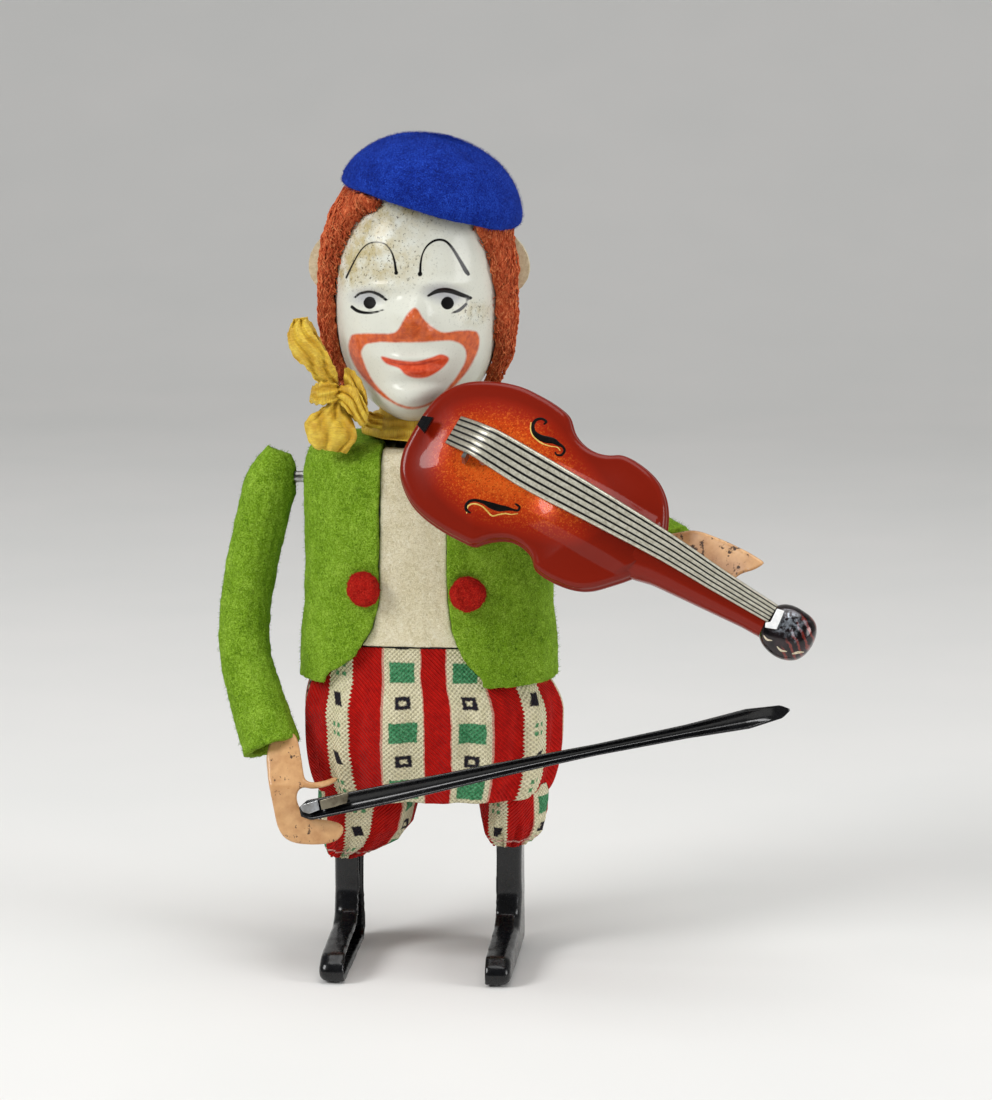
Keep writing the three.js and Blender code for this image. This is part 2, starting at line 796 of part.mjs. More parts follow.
function makeBowArm() {
  const sleevePath = bowArmPath.slice(0, -1);
  const above = sleevePath[0].clone().lerp(sleevePath[1], -0.4);
  const radii = [above, ...sleevePath].map(() => sleeveRadius);
  radii[0] = sleeveRadius * shoulderSleeveShare;
  radii[radii.length - 2] = (sleeveRadius + cuffRadius) / 2;
  radii[radii.length - 1] = cuffRadius;
  const shaftBore = rodX(shaftRadius + fitGap, rightShoulder.x - armRadius / 2, 0, 0, shoulderZ);
  add('right_sleeve', cut(sleeve([above, ...sleevePath], radii, 10), shaftBore), looks.jacket);
  const core = tube(bowArmPath, bowArmPath.map(() => armRadius), 8, 8);
  const [eyeStart, eyeEnd] = [rightShoulder.x - armRadius / 2, rightShoulder.x + armRadius / 2];
  const eye = rodX(armRadius * 0.9, eyeStart, eyeEnd, 0, shoulderZ);
  const bore = rodX(shaftRadius + runGap, rightShoulder.x - armRadius, 0, 0, shoulderZ);
  add('right_arm', cut(join(core, eye, handForm()), bore), looks.flesh);
}

// The pressed right hand, from the wrist down the palm to the fingers, then back along the thumb:
// places across and up as shares of the hand's length
const handOutlineShares = [
  [-0.22, 0.12], [-0.2, -0.14], [-0.11, -0.48], [0.05, -0.8], [0.32, -0.98], [0.69, -1],
  [0.95, -0.88], [0.97, -0.75], [0.71, -0.69], [0.41, -0.64], [0.22, -0.5], [0.2, -0.3],
  [0.34, -0.16], [0.65, -0.1], [0.92, -0.06], [0.93, 0.03], [0.61, 0.08], [0.29, 0.15],
];

function handForm() {
  const edge = handLength * 0.045;
  const settings = {
    depth: handThickness - 2 * edge,
    bevelThickness: edge,
    bevelSize: edge,
    bevelOffset: -edge,
    bevelSegments: 2,
  };
  const outline = handOutlineShares.map(([x, z]) => [wrist.x + handLength * x, wrist.z + handLength * z]);
  const hand = new THREE.ExtrudeGeometry(polygon(outline), settings);
  return hand.rotateX(Math.PI / 2).translate(0, handFrontY + handThickness - edge, 0);
}

// Bow: a folded tin strip with a bright frog, held in the right hand

const bowHeadingShares = [0.947, -0.187, 0.26];
const bowBackY = handFrontY - fitGap;
const bowStart = point(wrist.x + handLength * 0.27, bowBackY - bowThickness, wrist.z - handLength * 0.51);
const bowHeading = point(...bowHeadingShares).normalize();
const bowEnd = bowStart.clone().addScaledVector(bowHeading, bowLength);

// Place along the bow and its half width, as shares of the bow's length and half width
const bowWidthShares = [
  [0, 0.7], [0.04, 1], [0.2, 0.95], [0.42, 0.72], [0.62, 0.55], [0.8, 0.66], [0.92, 0.95],
  [0.985, 0.62], [1, 0.12],
];

function makeBow() {
  const thick = bowThickness / 2;
  const rings = bowWidthShares.map(([along, wide]) => {
    const centre = bowStart.clone().lerp(bowEnd, along);
    const half = bowHalfWidth * wide;
    return [[thick, -half], [-thick, -half], [-thick, half], [thick, half]].map(([deep, up]) => (
      point(centre.x, centre.y + deep, centre.z + up)
    ));
  });
  add('bow_stick', skin(rings), looks.black);
  const [frogStart, frogEnd] = [0.02, 0.085].map((share) => bowStart.clone().lerp(bowEnd, share));
  const low = bowHalfWidth + fitGap;
  const high = low + bowHalfWidth * 1.1;
  const frogShape = polygon([
    [frogStart.x, frogStart.z + low],
    [frogEnd.x, frogEnd.z + low],
    [frogEnd.x - thick, frogEnd.z + high],
    [frogStart.x + thick, frogStart.z + high],
  ]);
  add('bow_frog', alongY(frogShape, bowStart.y - bowThickness, bowStart.y), looks.steel);
}

// Violin: two pressed shells, a printed string strip on a wire bridge, neck and peg head

const tailPoint = point(headX + violinShift, -bodyHalfDepth - violinForward, bodyTop + violinRise);
const violinAxisShares = [0.8723, -0.2277, -0.4327];
const violinAxis = point(...violinAxisShares).normalize();
const outwards = point(0, -Math.cos(faceTilt), Math.sin(faceTilt));
const faceNormal = outwards.addScaledVector(violinAxis, -outwards.dot(violinAxis)).normalize();
const faceAcross = faceNormal.clone().cross(violinAxis);
const faceShift = violinDepth * 0.18;
const tailInset = violinLength * 0.07;
const violin = new THREE.Group();
violin.matrixAutoUpdate = false;
violin.matrix.makeBasis(violinAxis, faceAcross, faceNormal);
violin.matrix.setPosition(tailPoint.clone().addScaledVector(faceAcross, faceShift));
figure.add(violin);

// Half width of the violin's body along its length, both as shares
const bodyOutlineShares = [
  [0, 0.14], [0.02, 0.42], [0.07, 0.69], [0.165, 0.9], [0.27, 1], [0.365, 1], [0.43, 0.94],
  [0.487, 0.87], [0.52, 0.78], [0.58, 0.72], [0.64, 0.72], [0.68, 0.8], [0.725, 0.865],
  [0.8, 0.865], [0.88, 0.79], [0.94, 0.63], [0.985, 0.38], [1, 0.14],
];

function violinOutline(inset) {
  const upper = bodyOutlineShares.map(([along, across]) => {
    const middle = violinLength / 2;
    const x = (violinLength * along - middle) * (1 - inset / middle) + middle - tailInset;
    return [x, Math.max(violinHalfWidth * across - inset, tin)];
  });
  return [...upper, ...upper.map(([x, y]) => [x, -y]).reverse()];
}

function outlineRing(inset, z) {
  return violinOutline(inset).map(([x, y]) => point(x, y, z));
}

function makeViolinTop() {
  const flat = violinDepth / 2;
  const rings = [
    outlineRing(0, -flat),
    outlineRing(0, -tin),
    outlineRing(tin, 0),
    outlineRing(violinHalfWidth * 0.3, violinArch * 0.8),
    outlineRing(violinHalfWidth * 0.6, violinArch),
  ];
  const hollow = skin([outlineRing(tin, -flat - overrun), outlineRing(tin, -tin * 1.4)]);
  add('violin_top', cut(skin(rings), hollow), looks.violin, violin);
}

const neckStart = violinLength - tailInset - tin * 2;
const neckEnd = neckStart + violinNeck;
const neckDepthShare = 0.7;

function neckDepth(x) {
  const share = (x - neckStart) / (neckEnd - neckStart);
  return THREE.MathUtils.lerp(violinDepth - tin, violinDepth * neckDepthShare, share);
}

function makeViolinBack() {
  const flat = -violinDepth / 2 - fitGap;
  const rings = [
    outlineRing(0, flat),
    outlineRing(0, -violinDepth + tin),
    outlineRing(tin, -violinDepth),
  ];
  const hollow = skin([outlineRing(tin, flat + overrun), outlineRing(tin * 1.5, -violinDepth + tin)]);
  const neck = skin([[neckStart, neckHalfWidth], [neckEnd, nutHalfWidth]].map(([x, half]) => {
    const deep = neckDepth(x);
    return [
      point(x, half, 0),
      point(x, half * 0.8, -deep * 0.6),
      point(x, half * 0.3, -deep),
      point(x, -half * 0.3, -deep),
      point(x, -half * 0.8, -deep * 0.6),
      point(x, -half, 0),
    ];
  }));
  const topRelief = alongZ(polygon(violinOutline(-fitGap)), flat, violinArch);
  add('violin_back', join(cut(skin(rings), hollow), cut(neck, topRelief)), looks.violin, violin);
}

const bridgePlace = violinLength * 0.167;
const stripEnd = neckEnd + nutHalfWidth * 0.6;
const stripTailShare = 0.1;
const stripWideShare = 0.24;

// Height of the string strip's underside over the face plane
function stripHeight(x) {
  const low = violinArch + fitGap;
  const rise = stringRise + fitGap;
  if (x < bridgePlace) {
    return low + rise * (x / bridgePlace);
  }
  return low + rise * (1 - (x - bridgePlace) / (stripEnd - bridgePlace)) ** 1.4;
}

function makeStringStrip() {
  const near = [0, 0.5, 0.85, 1, 1.3].map((share) => bridgePlace * share);
  const far = [0.35, 0.6, 0.8, 1].map((share) => bridgePlace + (stripEnd - bridgePlace) * share);
  const tailHalf = violinHalfWidth * stripTailShare;
  const wideHalf = violinHalfWidth * stripWideShare;
  const rings = [...near, ...far].map((x) => {
    const grow = Math.min(x / bridgePlace, 1);
    const fade = Math.max((x - bridgePlace) / (stripEnd - bridgePlace), 0);
    const half = tailHalf + (wideHalf - tailHalf) * grow - (wideHalf - nutHalfWidth) * fade;
    const z = stripHeight(x);
    return [
      point(x, half, z),
      point(x, -half, z),
      point(x, -half, z + stripThickness),
      point(x, half, z + stripThickness),
    ];
  });
  add('string_strip', skin(rings), looks.shirt, violin);
}

function makeBridge() {
  const top = stripHeight(bridgePlace) - fitGap;
  const low = violinArch + fitGap;
  const middle = (low + top) / 2;
  const half = violinHalfWidth * 0.2;
  const outline = [
    [-half, low],
    [-half * 0.5, low],
    [-half * 0.35, middle],
    [half * 0.35, middle],
    [half * 0.5, low],
    [half, low],
    [half * 0.8, top],
    [-half * 0.8, top],
  ];
  const bridge = alongX(polygon(outline), bridgePlace - tin / 2, bridgePlace + tin / 2);
  add('violin_bridge', bridge, looks.steel, violin);
  const radius = half * 0.32;
  const rivet = latheZ([[0, 0], [radius, 0], [radius * 0.7, radius * 0.65], [0, radius * 0.85]], 10);
  add('bridge_rivet', rivet.translate(bridgePlace + half, -half * 0.2, low), looks.steel, violin);
}

// Corners of the small tailpiece, as shares of its length
const tailpieceShares = [[-1.36, -0.5], [-0.36, -0.86], [-0.36, 0.86], [-1.36, 0.5]];

function makeTailpiece() {
  const length = tailInset * 0.54;
  const low = violinArch * 0.7 + fitGap;
  const shape = polygon(tailpieceShares.map(([x, y]) => [x * length, y * length]));
  add('tailpiece', alongZ(shape, low, low + length * 0.57), looks.black, violin);
}

// Radius and place along the peg head, as shares of its radius and length
const pegHeadShares = [[0, 0], [0.5, 0], [0.8, 0.15], [1, 0.42], [0.93, 0.7], [0.62, 0.9], [0, 1]];

function makePegHead() {
  const profile = pegHeadShares.map(([out, along]) => [pegHeadRadius * out, pegHeadLength * along]);
  const bulb = latheY(profile, 18).rotateZ(-Math.PI / 2).scale(1, 1, 0.72);
  const sink = violinDepth * 0.3;
  add('peg_head', bulb.translate(neckEnd + fitGap + runGap, 0, -sink), looks.black, violin);
  const low = stripHeight(stripEnd) + stripThickness + fitGap;
  const [start, end] = [stripEnd - nutHalfWidth * 0.8, stripEnd - nutHalfWidth * 0.2];
  const nut = block(start, end, -nutHalfWidth, nutHalfWidth, low, low + nutHalfWidth * 0.3);
  add('violin_nut', nut, looks.white, violin);
}

// Left arm, fixed to the body by a stud; its flat hand lies against the back of the violin's neck

// Places along the left sleeve as shares of the straight way from the shoulder to the wrist, then
// how far out, back and up each lies from that way, as shares of the sleeve's radius
const leftArmShares = [
  [0.09, 0.245, 0.31, 0.287], [0.24, 0.218, 0.393, 0.241], [0.5, 0.21, 0.106, -0.061],
  [0.8, 0.201, 0.266, -0.266],
];

// Place along the hand, lower edge and upper edge, as shares of the hand's length and height
const leftHandShares = [[0, -0.12, 0.5], [0.26, -0.18, 0.7], [0.7, -0.12, 0.8], [1, 0.28, 0.66]];
const leftHandStart = neckStart + violinNeck * 0.22;

function leftHandForm() {
  const near = -neckDepth(leftHandStart) - fitGap;
  const far = near - leftHandThickness;
  const rings = leftHandShares.map(([along, lowShare, highShare]) => {
    const x = leftHandStart + leftHandLength * along;
    const [low, high] = [leftHandHeight * lowShare, leftHandHeight * highShare];
    return [point(x, low, far), point(x, low, near), point(x, high, near), point(x, high, far)];
  });
  return skin(rings).applyMatrix4(violin.matrix);
}

function makeLeftArm() {
  const wristDepth = neckDepth(leftHandStart) + fitGap * 2 + armRadius;
  const leftWrist = point(leftHandStart + armRadius, leftHandHeight * 0.25, -wristDepth);
  leftWrist.applyMatrix4(violin.matrix);
  const path = leftArmShares.map(([way, out, back, up]) => (
    leftShoulder.clone().lerp(leftWrist, way).addScaledVector(point(out, back, up), sleeveRadius)
  ));
  const studEnd = path[1].x - fitGap;
  const studBore = rodX(shaftRadius + fitGap, 0, studEnd + fitGap, 0, shoulderZ);
  const radii = [sleeveRadius * 0.9, sleeveRadius, sleeveRadius, cuffRadius];
  add('left_sleeve', cut(sleeve(path, radii, 6), studBore), looks.jacket);
  const start = path[0].clone().lerp(path[1], 0.78);
  const arm = [start, ...path.slice(1), leftWrist];
  const core = tube(arm, [0.7, 0.82, 0.88, 0.94].map((share) => armRadius * share), 8, 8);
  add('left_arm', join(core, leftHandForm()), looks.flesh);
  add('left_arm_stud', leftStud(studEnd), looks.steel);
}

function leftStud(end) {
  const inside = bodyHalfWidth - tin;
  const head = rodX(shaftRadius * 2, inside - plate - fitGap, inside - fitGap, 0, shoulderZ);
  return join(rodX(shaftRadius, inside - plate, end, 0, shoulderZ), head);
}

// Ribbon: one length round the neck, tied in a bow by the right side of the chin

const ribbonCount = 10;
const bandCount = 28;
const bandMiddle = bodyTop + felt + fitGap * 2 + ribbonHalfWidth * 1.15;
const bandRadius = neckRadius * 1.98;
const knotShares = [-0.92, -0.78, 0.35];
const knot = point(0, 0, bandMiddle).add(point(...knotShares).multiplyScalar(ribbonReach));

// Places along each piece of the bow from the knot, as shares of the ribbon's reach, then its half
// widths, as shares of the ribbon's half width, and its thickness and crinkle, as shares of the
// ribbon's thickness
const bowPiecesShares = {
  upperLoop: {
    path: [[0, 0, 0], [-0.2, 0.033, 0.283], [-0.4, 0.117, 0.65], [-0.517, 0.167, 0.933]],
    widths: [0.86, 1.5, 1.79, 0.93],
    thick: 0.61,
    crinkle: 0.39,
    steps: 9,
  },
  lowerLoop: {
    path: [[0, 0, 0], [0.1, -0.1, -0.05], [0.217, -0.133, -0.217], [0.283, -0.125, -0.4]],
    widths: [0.86, 1.86, 2.07, 1],
    thick: 0.78,
    crinkle: 0.33,
    steps: 8,
  },
  tail: {
    path: [[0, 0, 0], [-0.05, -0.1, -0.2], [-0.117, -0.183, -0.4], [-0.183, -0.233, -0.575]],
    widths: [0.86, 1.43, 1.93, 1.64],
    thick: 0.5,
    crinkle: 0.39,
    steps: 7,
  },
  link: {
    path: [[0, 0, 0], [0.117, 0.117, -0.117], [0.225, 0.25, -0.233], [0.283, 0.317, -0.317]],
    widths: [0.86, 0.93, 0.93, 0.86],
    thick: 0.67,
    crinkle: 0.11,
    steps: 5,
  },
};

// A flat ribbon along points, with half widths, a half thickness and a crinkle along its edge
function ribbonStrip(points, halfWidths, normal, half, steps, crinkle) {
  const curve = new THREE.CatmullRomCurve3(points);
  const widths = new THREE.CatmullRomCurve3(halfWidths.map((w, k) => point(w, k, 0)));
  const rings = Array.from({ length: steps + 1 }, (_, s) => {
    const share = s / steps;
    const centre = curve.getPoint(share);
    const along = curve.getTangent(share);
    const across = normal.clone().cross(along).normalize();
    const out = along.clone().cross(across);
    const width = widths.getPoint(share).x;
    return Array.from({ length: ribbonCount }, (_, k) => {
      const angle = (2 * Math.PI * k) / ribbonCount;
      const side = Math.cos(angle);
      const wave = crinkle * Math.sin(share * 9 + side * 4);
      const lift = half * signedPower(Math.sin(angle), 0.6) + wave;
      return centre.clone().addScaledVector(across, width * side).addScaledVector(out, lift);
    });
  });
  return skin(rings);
}

function neckBand() {
  const half = ribbonThickness / 2;
  const corners = [[half, -1], [half, 1], [-half, 1], [-half, -1]];
  const round = Array.from({ length: bandCount }, (_, k) => {
    const angle = (2 * Math.PI * k) / bandCount;
    const out = point(Math.cos(angle), Math.sin(angle), 0);
    const lift = ribbonHalfWidth * 0.54 * Math.max(-Math.cos(angle - Math.PI / 5), 0);
    const place = point(headX / 2, 0, bandMiddle + lift).addScaledVector(out, bandRadius);
    return corners.map(([far, up]) => (
      place.clone().addScaledVector(out, far).add(point(0, 0, up * ribbonHalfWidth))
    ));
  });
  return skin(round, true);
}

function makeRibbon() {
  const front = point(-0.35, -1, 0.1).normalize();
  const pieces = Object.values(bowPiecesShares).map(({ path, widths, thick, crinkle, steps }) => {
    const halfWidths = widths.map((share) => ribbonHalfWidth * share);
    const places = placesFrom(knot, ribbonReach, path);
    return ribbonStrip(
      places, halfWidths, front, ribbonThickness * thick, steps, ribbonThickness * crinkle,
    );
  });
  const tieHalf = ribbonHalfWidth * 1.2;
  const tie = latheZ([[0, -tieHalf], [tieHalf * 0.8, -tieHalf * 0.8], [tieHalf * 0.95, 0],
    [tieHalf * 0.8, tieHalf * 0.8], [0, tieHalf]], 12);
  add('neck_ribbon', join(neckBand(), ...pieces, tie.translate(knot.x, knot.y, knot.z)), looks.ribbon);
}

// Motor gears

// A tooth's flank from root to tip: height over the pitch circle as a share of the module,
// and half width as a share of one tooth's angle
const wheelFlankShares = [[-1.15, 0.3], [0.85, 0.09]];
const pinionFlankShares = [[-1.15, 0.18], [0, 0.165], [0.75, 0.06]];

function gearOutline(teeth, module, flankShares, turn, x, z) {
  const pitchRadius = (teeth * module) / 2;
  const rising = flankShares.map(([height, half]) => [height, -half]);
  const tooth = [...rising, ...[...flankShares].reverse()];
  const outline = [];
  for (let k = 0; k < teeth; k += 1) {
    tooth.forEach(([height, share]) => {
      const radius = pitchRadius + height * module;
      const angle = turn + (2 * Math.PI * (k + share)) / teeth;
      outline.push([x + radius * Math.cos(angle), z + radius * Math.sin(angle)]);
    });
  }
  return outline;
}

// Places along the arbors, from the front plate to the back
const frontPlateY = motorFrontGap - bodyHalfDepth;
const backPlateY = bodyHalfDepth - motorBackGap;
const frontInner = frontPlateY + plate;
const greatY = frontInner + fitGap + runGap;
const springStart = greatY + gearWidth + plate;
const secondY = backPlateY - plate - runGap - gearWidth;
const springEnd = secondY - plate;
const crankRadius = leverTravel() / 2;
const crankDiscY = frontPlateY - fitGap - plate;
const crankPinEnd = crankDiscY - plate - fitGap;
const yokeBackY = crankPinEnd - fitGap;
const yokeFrontY = yokeBackY - plate;
const outsideY = backPlateY + plate + fitGap;

function leverTravel() {
  const low = Math.sin(THREE.MathUtils.degToRad(-leverRestDegrees));
  const high = Math.sin(THREE.MathUtils.degToRad(swingDegrees - leverRestDegrees));
  return leverLength * (high - low);
}

// The link's guide pin stands as far out as the housing leaves room for its head
const guideHeadRadius = smallPinRadius * 1.9;
const guideHeadY = yokeFrontY - fitGap;
const guideEndY = guideHeadY - smallPinRadius * 0.8;
const guidePinX = guideHeadRadius + runGap / 2 - housingRoom(guideEndY);

// Half width inside the housing at a place along its depth
function housingRoom(y) {
  const share = Math.abs(y) / (bodyHalfDepth - tin);
  return (bodyHalfWidth - tin) * (1 - share ** bodyPower) ** (1 / bodyPower);
}

// Places of the three arbors
const secondX = guidePinX + crankRadius + smallPinRadius * 3.6;
const mainDistance = ((greatTeeth + secondPinionTeeth) * mainModule) / 2;
const fastDistance = ((secondTeeth + fastPinionTeeth) * fastModule) / 2;
const secondZ = arborZ + Math.sqrt(mainDistance ** 2 - secondX ** 2);
const fastX = secondX + Math.sqrt(fastDistance ** 2 - weightRise ** 2);
const fastZ = secondZ + weightRise;
const mainAngle = Math.atan2(secondZ - arborZ, secondX);
const fastAngle = Math.atan2(weightRise, fastX - secondX);

// The mainspring's outer end sits inside a post on the great wheel that clears the pinion
const pinionReach = mainModule * (secondPinionTeeth / 2 + 0.75);
const springOuter = mainDistance - pinionReach - 2 * fitGap - 2 * smallPinRadius;

function makeGreatWheel() {
  const rim = mainModule * (greatTeeth / 2 - 4);
  const hub = arborRadius * 2;
  const windows = [0, 1, 2, 3].map((k) => windowShape(hub, rim, k));
  const outline = gearOutline(greatTeeth, mainModule, wheelFlankShares, mainAngle, 0, arborZ);
  const bore = circle(arborRadius + runGap, 16, 0, arborZ);
  const disc = alongY(polygon(outline, [bore, ...windows]), greatY, greatY + gearWidth);
  const post = rodY(smallPinRadius, greatY, springEnd, springOuter + fitGap + smallPinRadius, arborZ, 8);
  add('great_wheel', join(disc, post), looks.brass);
}

// A window between two spokes of the great wheel
function windowShape(hub, rim, k) {
  const half = 0.5;
  const middle = (Math.PI / 2) * k + Math.PI / 4;
  const outer = [-half, -half / 2, 0, half / 2, half].map((a) => [rim, middle + a]);
  const inner = [half * 0.8, 0, -half * 0.8].map((a) => [hub, middle + a]);
  return [...outer, ...inner].map(([r, a]) => [r * Math.cos(a), arborZ + r * Math.sin(a)]);
}

function makeMainspring() {
  const turns = 5;
  const perTurn = 12;
  const half = springStrip / 2;
  const inner = arborRadius + half + fitGap;
  const steps = turns * perTurn;
  const path = Array.from({ length: steps + 1 }, (_, s) => {
    const angle = (2 * Math.PI * s) / perTurn;
    const radius = inner + ((springOuter - half - inner) * s) / steps;
    return [angle, radius];
  });
  const outer = path.map(([a, r]) => [(r + half) * Math.cos(a), arborZ + (r + half) * Math.sin(a)]);
  const under = path.map(([a, r]) => [(r - half) * Math.cos(a), arborZ + (r - half) * Math.sin(a)]);
  const shape = polygon([...outer, ...under.reverse()]);
  add('mainspring', alongY(shape, springStart, springEnd), looks.steel);
}

const ratchetTeeth = 12;
const ratchetRootShare = 0.78;
const ratchetFaceShare = 0.82;

function makeWindingArbor() {
  const squareEnd = bodyHalfDepth + felt + fitGap + keyReach;
  const half = squareSide / 2;
  const shaft = rodY(arborRadius, frontInner + runGap, backPlateY - runGap, 0, arborZ, 16);
  const frontPivot = rodY(pivotRadius, frontPlateY - fitGap, 0, 0, arborZ);
  const journal = rodY(arborRadius, 0, outsideY, 0, arborZ, 16);
  const square = alongY(polygon(rectangle(-half, half, arborZ - half, arborZ + half)), 0, squareEnd);
  const teeth = [];
  for (let k = 0; k < ratchetTeeth; k += 1) {
    const tip = (2 * Math.PI * k) / ratchetTeeth;
    const root = (2 * Math.PI * (k + ratchetFaceShare)) / ratchetTeeth;
    const low = ratchetRadius * ratchetRootShare;
    teeth.push([ratchetRadius * Math.cos(tip), arborZ + ratchetRadius * Math.sin(tip)]);
    teeth.push([low * Math.cos(root), arborZ + low * Math.sin(root)]);
  }
  const ratchet = alongY(polygon(teeth), outsideY, outsideY + gearWidth);
  add('winding_arbor', join(shaft, frontPivot, journal, square, ratchet), looks.steel);
}

// Click and its spring, placed round the ratchet in shares of its radius
const clickPivotX = ratchetRadius * 1.6;
const clickPivotZ = arborZ + ratchetRadius * 0.914;
const clickBoss = ratchetRadius * 0.314;

function makeClick() {
  const reach = ratchetRadius + fitGap;
  const tipAngle = THREE.MathUtils.degToRad(72);
  const [tipX, tipZ] = [reach * Math.cos(tipAngle), arborZ + reach * Math.sin(tipAngle)];
  const boss = polygon(circle(clickBoss, 12, clickPivotX, clickPivotZ));
  const arm = polygon([
    [clickPivotX, clickPivotZ + clickBoss * 0.9],
    [tipX + clickBoss * 0.18, tipZ + clickBoss],
    [tipX, tipZ],
    [tipX + clickBoss * 0.9, tipZ + clickBoss * 0.09],
    [clickPivotX - clickBoss * 0.7, clickPivotZ - clickBoss * 0.4],
  ]);
  const [low, high] = [outsideY, outsideY + gearWidth];
  const bore = rodY(smallPinRadius + runGap, 0, high + overrun, clickPivotX, clickPivotZ);
  add('click', cut(join(alongY(boss, low, high), alongY(arm, low, high)), bore), looks.steel);
  const pin = rodY(smallPinRadius, backPlateY + plate, high + fitGap, clickPivotX, clickPivotZ);
  const head = rodY(
    smallPinRadius * 1.8, high + fitGap, high + fitGap + smallPinRadius, clickPivotX, clickPivotZ,
  );
  add('click_pin', join(pin, head), looks.steel);
}

// Places along the click's spring from its foot: across as shares of the way out to the pillars,
// and up as shares of the ratchet's radius
const clickSpringShares = [[1, 1.914], [0.71, 1.77], [0.441, 1.71], [0.182, 1.657]];

function makeClickSpring() {
  const half = springStrip / 2;
  const path = clickSpringShares.map(([x, z]) => [pillarX * x, arborZ + ratchetRadius * z]);
  const upper = path.map(([x, z]) => [x, z + half]);
  const lower = path.map(([x, z]) => [x, z - half]).reverse();
  const strip = alongY(polygon([...upper, ...lower]), outsideY, outsideY + gearWidth * 0.8);
  const [[footX, footZ]] = path;
  const foot = rodY(springStrip * 3, backPlateY + plate, outsideY + gearWidth, footX, footZ, 10);
  add('click_spring', join(strip, foot), looks.steel);
}

function makeSecondWheel() {
  const pinionTurn = mainAngle + Math.PI + Math.PI / secondPinionTeeth;
  const pinion = gearOutline(
    secondPinionTeeth, mainModule, pinionFlankShares, pinionTurn, secondX, secondZ,
  );
  const wheel = gearOutline(secondTeeth, fastModule, wheelFlankShares, fastAngle, secondX, secondZ);
  const leaves = alongY(polygon(pinion), greatY - runGap, greatY + gearWidth + runGap);
  const disc = alongY(polygon(wheel), secondY, secondY + gearWidth);
  const arbor = rodY(pivotRadius, crankDiscY, backPlateY + plate, secondX, secondZ);
  const crankOuter = crankRadius + smallPinRadius * 2.2;
  const crank = rodY(crankOuter, crankDiscY, crankDiscY + plate, secondX, secondZ, 20);
  const pin = rodY(smallPinRadius, crankPinEnd, crankDiscY, secondX, secondZ - crankRadius, 10);
  add('second_wheel', join(arbor, leaves, disc, crank, pin), looks.brass);
}

function makeWeightArbor() {
  const turn = fastAngle + Math.PI + Math.PI / fastPinionTeeth;
  const pinion = gearOutline(fastPinionTeeth, fastModule, pinionFlankShares, turn, fastX, fastZ);
  const leaves = alongY(polygon(pinion), secondY - runGap, secondY + gearWidth + runGap);
  const arbor = rodY(smallPinRadius, frontPlateY, outsideY, fastX, fastZ);
  add('weight_arbor', join(arbor, leaves), looks.brass);
  const steps = 10;
  const arc = Array.from({ length: steps + 1 }, (_, k) => {
    const angle = (-Math.PI * k) / steps;
    return [fastX + weightRadius * Math.cos(angle), fastZ + weightRadius * Math.sin(angle)];
  });
  const hub = weightRadius * 0.28;
  const outline = [...arc, [fastX - hub, fastZ + hub], [fastX + hub, fastZ + hub]];
  add('eccentric_weight', alongY(polygon(outline), outsideY, outsideY + weightDepth), looks.brass);
}

// Motor frame

const motorHalfWidth = bodyHalfWidth - tin - motorSideGap;
const frontPlateTop = shoulderZ - leverLength + fitGap;
const backPlateTop = bodyTop - tin - 2 * plate - fitGap - runGap;
const pillarX = motorHalfWidth - 1.6 * pillarRadius;
const pillarPlaces = {
  pillar_lower_left: [pillarX, bodyBottom + 3.6 * pillarRadius],
  pillar_lower_right: [-pillarX, bodyBottom + 3.6 * pillarRadius],
  pillar_upper: [pillarX, frontPlateTop - 2 * pillarRadius],
};

function plateOutline(top) {
  const half = motorHalfWidth;
  const waist = half * 0.8;
  const low = bodyBottom;
  const arch = low + pillarRadius;
  return [
    [-half, low], [-waist, low], [-waist, arch], [waist, arch], [waist, low], [half, low],
    [half, top], [-half, top],
  ];
}

function makeMotorFrame() {
  const pivots = [
    circle(smallPinRadius + runGap, 12, fastX, fastZ),
    circle(pivotRadius + runGap, 12, secondX, secondZ),
  ];
  const frontBore = circle(pivotRadius + runGap, 12, 0, arborZ);
  const backBore = circle(arborRadius + runGap, 16, 0, arborZ);
  const front = polygon(plateOutline(frontPlateTop), [...pivots, frontBore]);
  const back = polygon(plateOutline(backPlateTop), [...pivots, backBore]);
  add('front_plate', alongY(front, frontPlateY, frontInner), looks.steel);
  add('back_plate', alongY(back, backPlateY, backPlateY + plate), looks.steel);
  Object.entries(pillarPlaces).forEach(([name, [x, z]]) => {
    add(name, rodY(pillarRadius, frontInner, backPlateY, x, z, 10), looks.steel);
  });
}

// Arm drive: a link that the crank lifts, a lever on the arm shaft and the bracket round it

const guidePinZ = secondZ - crankRadius - 14 * smallPinRadius;
const linkX = guidePinX - smallPinRadius * 2.2;
const leverX = linkX + plate + fitGap + runGap;
const earX = linkX - 2 * plate - runGap;
const earInnerX = leverX + plate + fitGap + plate;
const shaftInner = earInnerX + plate + runGap;

function leverPin(degrees) {
  const angle = THREE.MathUtils.degToRad(degrees - leverRestDegrees);
  return [-leverLength * Math.cos(angle), shoulderZ + leverLength * Math.sin(angle)];
}

